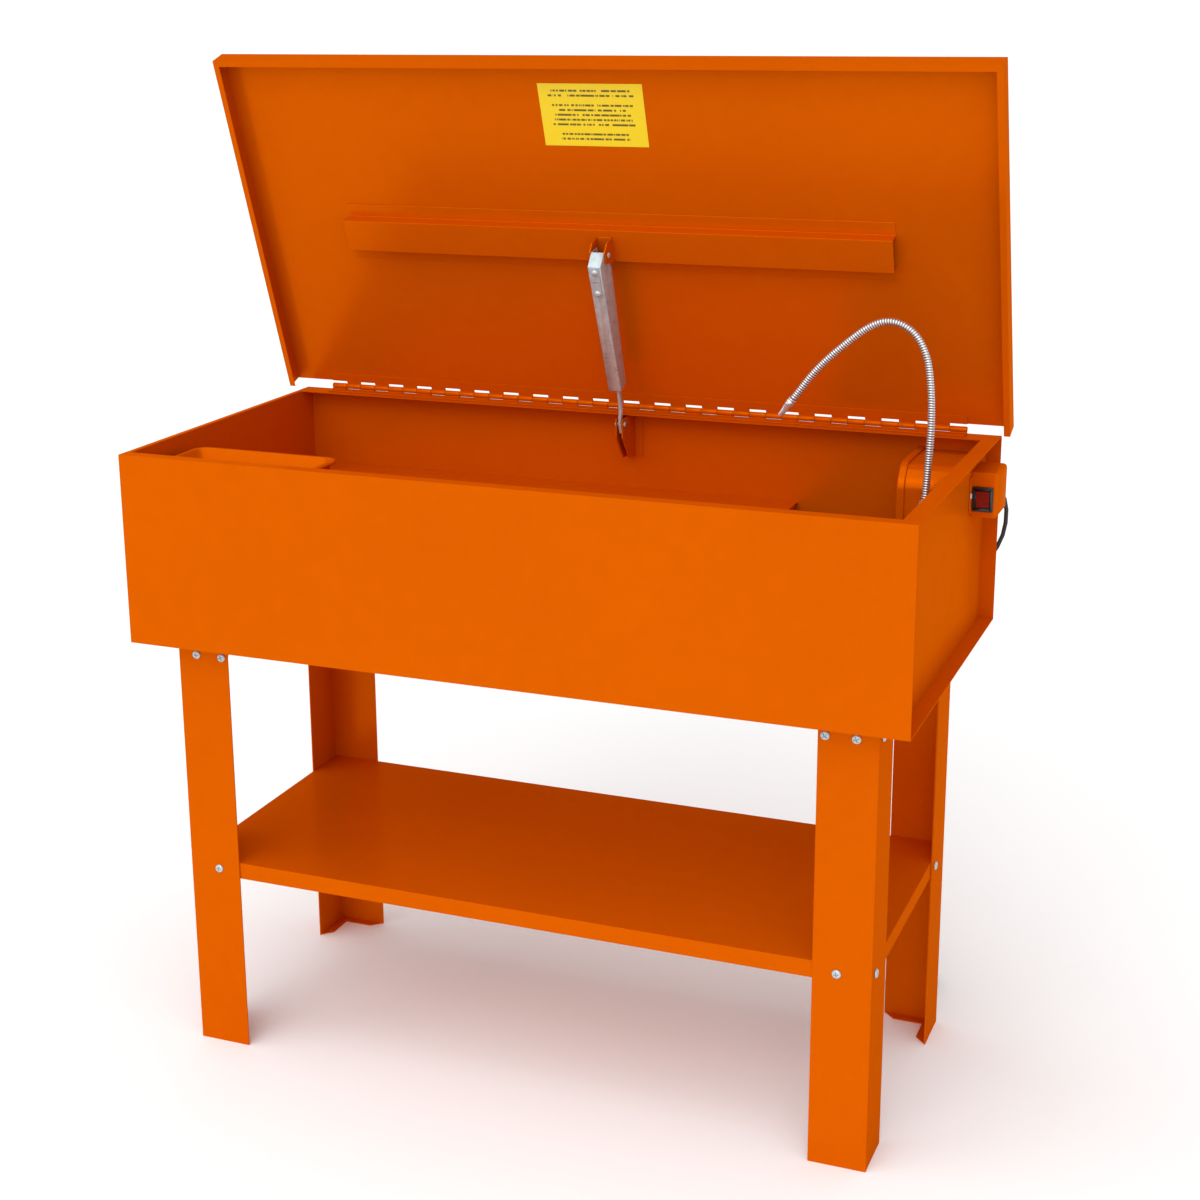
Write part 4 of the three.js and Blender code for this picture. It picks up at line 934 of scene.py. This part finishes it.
class WASHER_OT_tray(bpy.types.Operator):
    """Pressed parts tray with a rolled rim"""

    bl_idname = "washer.tray"
    bl_label = "Parts tray"

    def execute(self, context):
        low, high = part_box("parts_tray")
        rim = 8 * MM
        bm = bmesh.new()
        inner_low = low + Vector((rim, rim, 0))
        inner_high = high - Vector((rim, rim, 0.0012))
        stretch = Matrix.Diagonal((*(inner_high - inner_low), 1))
        place = Matrix.Translation((inner_low + inner_high) / 2) @ stretch
        bmesh.ops.create_cube(bm, size=1, matrix=place)
        upright = [e for e in bm.edges if abs(e.verts[0].co.z - e.verts[1].co.z) > 0.05]
        bevelled(bm, upright, 0.018, 8)
        floor = [f for f in bm.faces if f.normal.z < -0.9]
        bevelled(bm, [e for f in floor for e in f.edges], 0.008, 5)
        top = [f for f in bm.faces if f.normal.z > 0.9]
        bmesh.ops.delete(bm, geom=top, context="FACES_ONLY")
        loop = [e for e in bm.edges if e.is_boundary]
        middle = (low + high) / 2
        size = high - low
        for out, drop in ((0.55, 0.0010), (0.85, 0.0002), (1.0, -0.0016), (0.98, -0.0034), (0.86, -0.0042)):
            grown = bmesh.ops.extrude_edge_only(bm, edges=loop)["geom"]
            ring = [g for g in grown if isinstance(g, bmesh.types.BMVert)]
            loop = [g for g in grown if isinstance(g, bmesh.types.BMEdge) and g.is_boundary]
            for vert in ring:
                vert.co.z = inner_high.z + drop
            span = [max(v.co[i] for v in ring) - min(v.co[i] for v in ring) for i in (0, 1)]
            scale = [(size[i] - 2 * rim * (1 - out)) / span[i] for i in (0, 1)]
            bmesh.ops.scale(bm, vec=(scale[0], scale[1], 1), space=Matrix.Translation(-middle), verts=ring)
        bmesh.ops.recalc_face_normals(bm, faces=bm.faces)
        made = piece("tray_pressing", bm, "powder", "tray", ["parts_tray"])
        wall = made.modifiers.new("Wall", "SOLIDIFY")
        wall.thickness = 0.001
        wall.offset = -1
        return {"FINISHED"}


class WASHER_OT_pump(bpy.types.Operator):
    """Pump, its folded cover, delivery hose and cable"""

    bl_idname = "washer.pump"
    bl_label = "Pump"

    def execute(self, context):
        self.cover()
        base_low, base_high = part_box("pump_strainer")
        body_low, body_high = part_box("pump_body")
        centre = (base_low + base_high) / 2
        strainer = [(0, 0), (37, 0), (38, 1)]
        for rib in range(5):
            strainer += [(38, 2 + rib * 4), (38, 3.6 + rib * 4), (36, 4 + rib * 4), (36, 5.4 + rib * 4)]
        strainer += [(35, 22), (0, 22)]
        bm = aim(turned_mm(strainer, 40), (centre.x, centre.y, base_low.z), (0, 0, 1))
        piece("pump_strainer_piece", bm, "plastic", "tank", ["pump_strainer"])
        foot = (body_low.z - base_low.z) / MM
        body = [(0, foot), (32, foot), (32, foot + 6), (30.5, foot + 8), (30.5, foot + 50), (32, foot + 52),
                (32, foot + 80), (30, foot + 88), (24, foot + 95), (18, foot + 98), (0, foot + 98)]
        bm = aim(turned_mm(body, 40), (centre.x, centre.y, base_low.z), (0, 0, 1))
        barbed = [(0, 0), (7, 0), (7, 3), (6, 4), (6, 7), (6.6, 8), (6, 10), (6.6, 11), (5.6, 17.6),
                  (0, 17.6)]
        outlet_foot = (centre.x - 0.014, centre.y - 0.010, base_low.z + (foot + 95) * MM)
        merge_bmesh(bm, aim(turned_mm(barbed, 20), outlet_foot, (0, 0, 1)))
        rounded(piece("pump_body_piece", bm, "plastic", "tank", ["pump_body"]), 0.0008)
        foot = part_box("delivery_hose")[0].z / MM
        x, y = centre.x / MM - 14, centre.y / MM - 10
        route = [(x, y, foot), (x, y, foot + 8), (x, y, foot + 14),
                 (ELBOW_X, 183.5, ELBOW_Z), (ELBOW_X, 177.5, ELBOW_Z), (ELBOW_X, 171.5, ELBOW_Z)]
        line = smooth_line([Vector(p) * MM for p in route], 0.002)
        piece("delivery_hose_piece", swept(line, lambda i: 0.0069, 20), "rubber", "tank", ["delivery_hose"])
        dressed("hose_clamp", "zinc", "tank", 0.0003)
        dressed("pump_cable", "rubber", "tank", 0.0002, 1, 50)
        return {"FINISHED"}

    def cover(self):
        low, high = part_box("pump_cover")
        x0, x1 = low.x / MM, high.x / MM
        y0, back = low.y / MM, high.y / MM
        top, foot = high.z / MM, low.z / MM

        def profile(inset):
            front, roof = y0 + inset, top - inset
            return [(back, foot), (back, roof), (y0 + 22, roof), (front, top - 26), (front, foot)]

        cheek = outline_block(profile(0), "X", x0, x0 + 11, [(2, 9), (3, 12)])
        skin = outline_block(profile(3), "X", x0 + 10, x1, [(2, 9), (3, 12)])
        bm = merge_bmesh(cheek, skin)
        rounded(piece("pump_cover_shell", bm, "powder", "tank", ["pump_cover"]), 0.0014, 4, 40)


class WASHER_OT_spout(bpy.types.Operator):
    """Fixed elbow, ball ferrule, ringed flexible hose and nozzle"""

    bl_idname = "washer.spout"
    bl_label = "Spout"

    def execute(self, context):
        spout = context.scene.washer_spout
        axis = Vector((math.sin(SPOUT_TILT), 0, math.cos(SPOUT_TILT)))
        self.elbow(axis)
        ball = [(7 * math.sin(a), -7 * math.cos(a)) for a in (i * math.pi / 18 for i in range(0, 15))]
        neck = [(4, 6.0), (4, 7.0), (6.8, 7.4), (6.9, 8), (6.9, 10.4), (6.3, 11), (6.3, 12.6), (6.5, 13),
                (6.2, 14), (0, 14)]
        bm = aim(turned_mm(ball + neck, 28), SPOUT_CUP, axis)
        piece("spout_ferrule_piece", bm, "chrome", "spout", ["spout_ferrule"])

        start = SPOUT_CUP + axis * FERRULE_END * MM
        route = [start, *(Vector((x, SPOUT_PLANE_Y, z)) * MM for x, z in SPOUT_ROUTE)]
        depth = [0, 0.35, 1, 1, 0.35, 0]
        stations, sides = len(depth), 20
        line = smooth_line(route, spout.pitch / stations)

        def radius_at(index):
            return spout.radius - spout.groove * depth[index % stations]

        bm = swept(line, radius_at, sides)
        layer = bm.verts.layers.float["groove"]
        for index, vert in enumerate(bm.verts):
            vert[layer] = depth[(index // sides) % stations]
        piece("spout_ringed_hose", bm, "rings", "spout", ["spout_hose"])

        aim_at = (route[-1] - route[-2]).normalized()
        nozzle = [(0, 0.2), (6.0, 0.2), (6.3, 0.6), (6.3, 2.4), (5.9, 2.8), (5.9, 3.8), (6.3, 4.2),
                  (6.3, 10.4), (6.0, 11), (4.2, 24), (3.6, 31), (3.2, 32), (1.9, 32), (1.7, 22), (0, 21.8)]
        bm = aim(turned_mm(nozzle, 28), route[-1] + aim_at * 0.6 * MM, aim_at)
        piece("spout_nozzle_piece", bm, "chrome", "spout", ["spout_nozzle"])
        return {"FINISHED"}

    def elbow(self, axis):
        top = SPOUT_CUP - axis * 4.5 * MM
        bends = [(0, 170, 0), (0, 140, 0), (0, 118, 0), (0, 112, 0.4), (0.4, 107.4, 2.4), (2.6, 105.2, 5)]
        route = [*(Vector((ELBOW_X + u, y, ELBOW_Z + v)) * MM for u, y, v in bends), top]
        bm = swept(smooth_line(route, 0.001), lambda i: 0.0063, 20)
        cup = [(0, -4), (5, -4), (7.4, -2.4), (8.2, 0), (8.4, 2.4), (7.8, 2.6), (7.35, 0.2), (0, 0.2)]
        merge_bmesh(bm, aim(turned_mm(cup, 24), top - axis * 1.6 * MM, axis))
        nut = bmesh.new()
        middle = Vector((ELBOW_X, 136.2, ELBOW_Z)) * MM
        place = Matrix.Translation(middle) @ Matrix.Rotation(math.pi / 2, 4, "X")
        bmesh.ops.create_cone(
            nut, cap_ends=True, segments=6, radius1=0.011, radius2=0.011, depth=0.007, matrix=place)
        bevelled(nut, list(nut.edges), 0.0006, 2)
        merge_bmesh(bm, nut)
        piece("spout_elbow_piece", bm, "chrome", "tank", ["spout_elbow"])


class WASHER_OT_switch(bpy.types.Operator):
    """Switch box on the end panel with its rocker switch"""

    bl_idname = "washer.switch"
    bl_label = "Switch"

    def execute(self, context):
        low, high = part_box("switch_box")
        x0, x1 = low.x / MM, high.x / MM
        y0, y1, z0, z1 = 172, 242, low.z / MM, high.z / MM
        bm = bmesh.new()
        block(bm, (x0, y0, z0), (x1, y1, z1))
        outer = [e for e in bm.edges if all(v.co.x > 0.58 for v in e.verts)]
        bevelled(bm, outer, 0.006, 5)
        flange = bmesh.new()
        block(flange, (x0, y0 - 15, z0 + 6), (x0 + 1.5, y1 + 15, z1 - 6))
        corners = [e for e in flange.edges if abs(e.verts[0].co.x - e.verts[1].co.x) > 0.001]
        bevelled(flange, corners, 0.005, 4)
        merge_bmesh(bm, flange)
        bezel_low, bezel_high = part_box("switch_bezel")
        middle = (bezel_low + bezel_high) / 2 / MM
        rounded(piece("switch_box_case", bm, "powder", "tank", ["switch_box"]), 0.0006, 3)
        self.bezel(middle.x, middle.z, bezel_low.y / MM)
        self.rocker()
        for y in (y0 - 11, y1 + 9):
            bm = crossed_head([(0, 0.1), (4.4, 0.1), (4.5, 0.5), (3.9, 1.5), (2.9, 1.9)], (1.1, 4.4), 1.2)
            aim(bm, ((x0 + 1.5) * MM, y * MM, (z0 + z1) / 2 * MM), (1, 0, 0))
            piece("box_screw_front" if y < y0 else "box_screw_back", bm, "zinc", "tank")
        return {"FINISHED"}

    def bezel(self, cx, cz, y):
        bm = bmesh.new()
        block(bm, (cx - 15, y, cz - 18), (cx + 15, y + 3, cz + 18))
        bevelled(bm, [e for e in bm.edges if abs(e.verts[0].co.y - e.verts[1].co.y) > 0.001], 0.0022, 4)
        front = [f for f in bm.faces if f.normal.y < -0.9]
        bevelled(bm, [e for f in front for e in f.edges], 0.0012, 3)
        face = max((f for f in bm.faces if f.normal.y < -0.9), key=lambda f: f.calc_area())
        bmesh.ops.inset_region(bm, faces=[face], thickness=0.0034, use_even_offset=True)
        grown = bmesh.ops.extrude_discrete_faces(bm, faces=[face])["faces"]
        bmesh.ops.translate(bm, vec=(0, 0.012, 0), verts=list(grown[0].verts))
        bmesh.ops.recalc_face_normals(bm, faces=bm.faces)
        piece("switch_bezel_frame", bm, "plastic", "tank", ["switch_bezel"])

    def rocker(self):
        low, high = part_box("switch_rocker")
        pivot_y, pivot_z = 168.6, 858
        tilt = 1.535
        outline = [(-tilt - 0.3, 11.9), (0.6, 12.2), (5, 10), (8, 0), (5, -10), (1.8, -12.2),
                   (tilt - 0.2, -11.9), (1.5, -6), (0.7, 0), (-0.6, 6)]
        outline = [(pivot_y + u, pivot_z + v) for u, v in outline]
        bm = outline_block(outline, "X", low.x / MM, high.x / MM)
        rounded(piece("switch_rocker_piece", bm, "rocker", "rocker", ["switch_rocker"]), 0.0007, 3, 25)


OPERATORS = (
    WASHER_OT_stage, WASHER_OT_cord, WASHER_OT_tank, WASHER_OT_stand, WASHER_OT_bolts, WASHER_OT_hinge,
    WASHER_OT_lid, WASHER_OT_stay, WASHER_OT_tray, WASHER_OT_pump, WASHER_OT_spout, WASHER_OT_switch,
)


class WASHER_PT_panel(bpy.types.Panel):
    bl_label = "Parts washer"
    bl_space_type = "VIEW_3D"
    bl_region_type = "UI"
    bl_category = "Washer"

    def draw(self, context):
        for operator in OPERATORS:
            self.layout.operator(operator.bl_idname)
        for name in SETTINGS:
            box = self.layout.box()
            group = getattr(context.scene, name)
            for key in group.__annotations__:
                box.prop(group, key)


def register():
    for cls in (*SETTINGS.values(), *OPERATORS, WASHER_PT_panel):
        bpy.utils.register_class(cls)
    for name, group in SETTINGS.items():
        setattr(bpy.types.Scene, name, bpy.props.PointerProperty(type=group))


def unregister():
    for name in SETTINGS:
        delattr(bpy.types.Scene, name)
    for cls in reversed((*SETTINGS.values(), *OPERATORS, WASHER_PT_panel)):
        bpy.utils.unregister_class(cls)


def main():
    register()
    for operator in OPERATORS:
        family, name = operator.bl_idname.split(".")
        getattr(getattr(bpy.ops, family), name)()


if __name__ == "__main__":
    main()
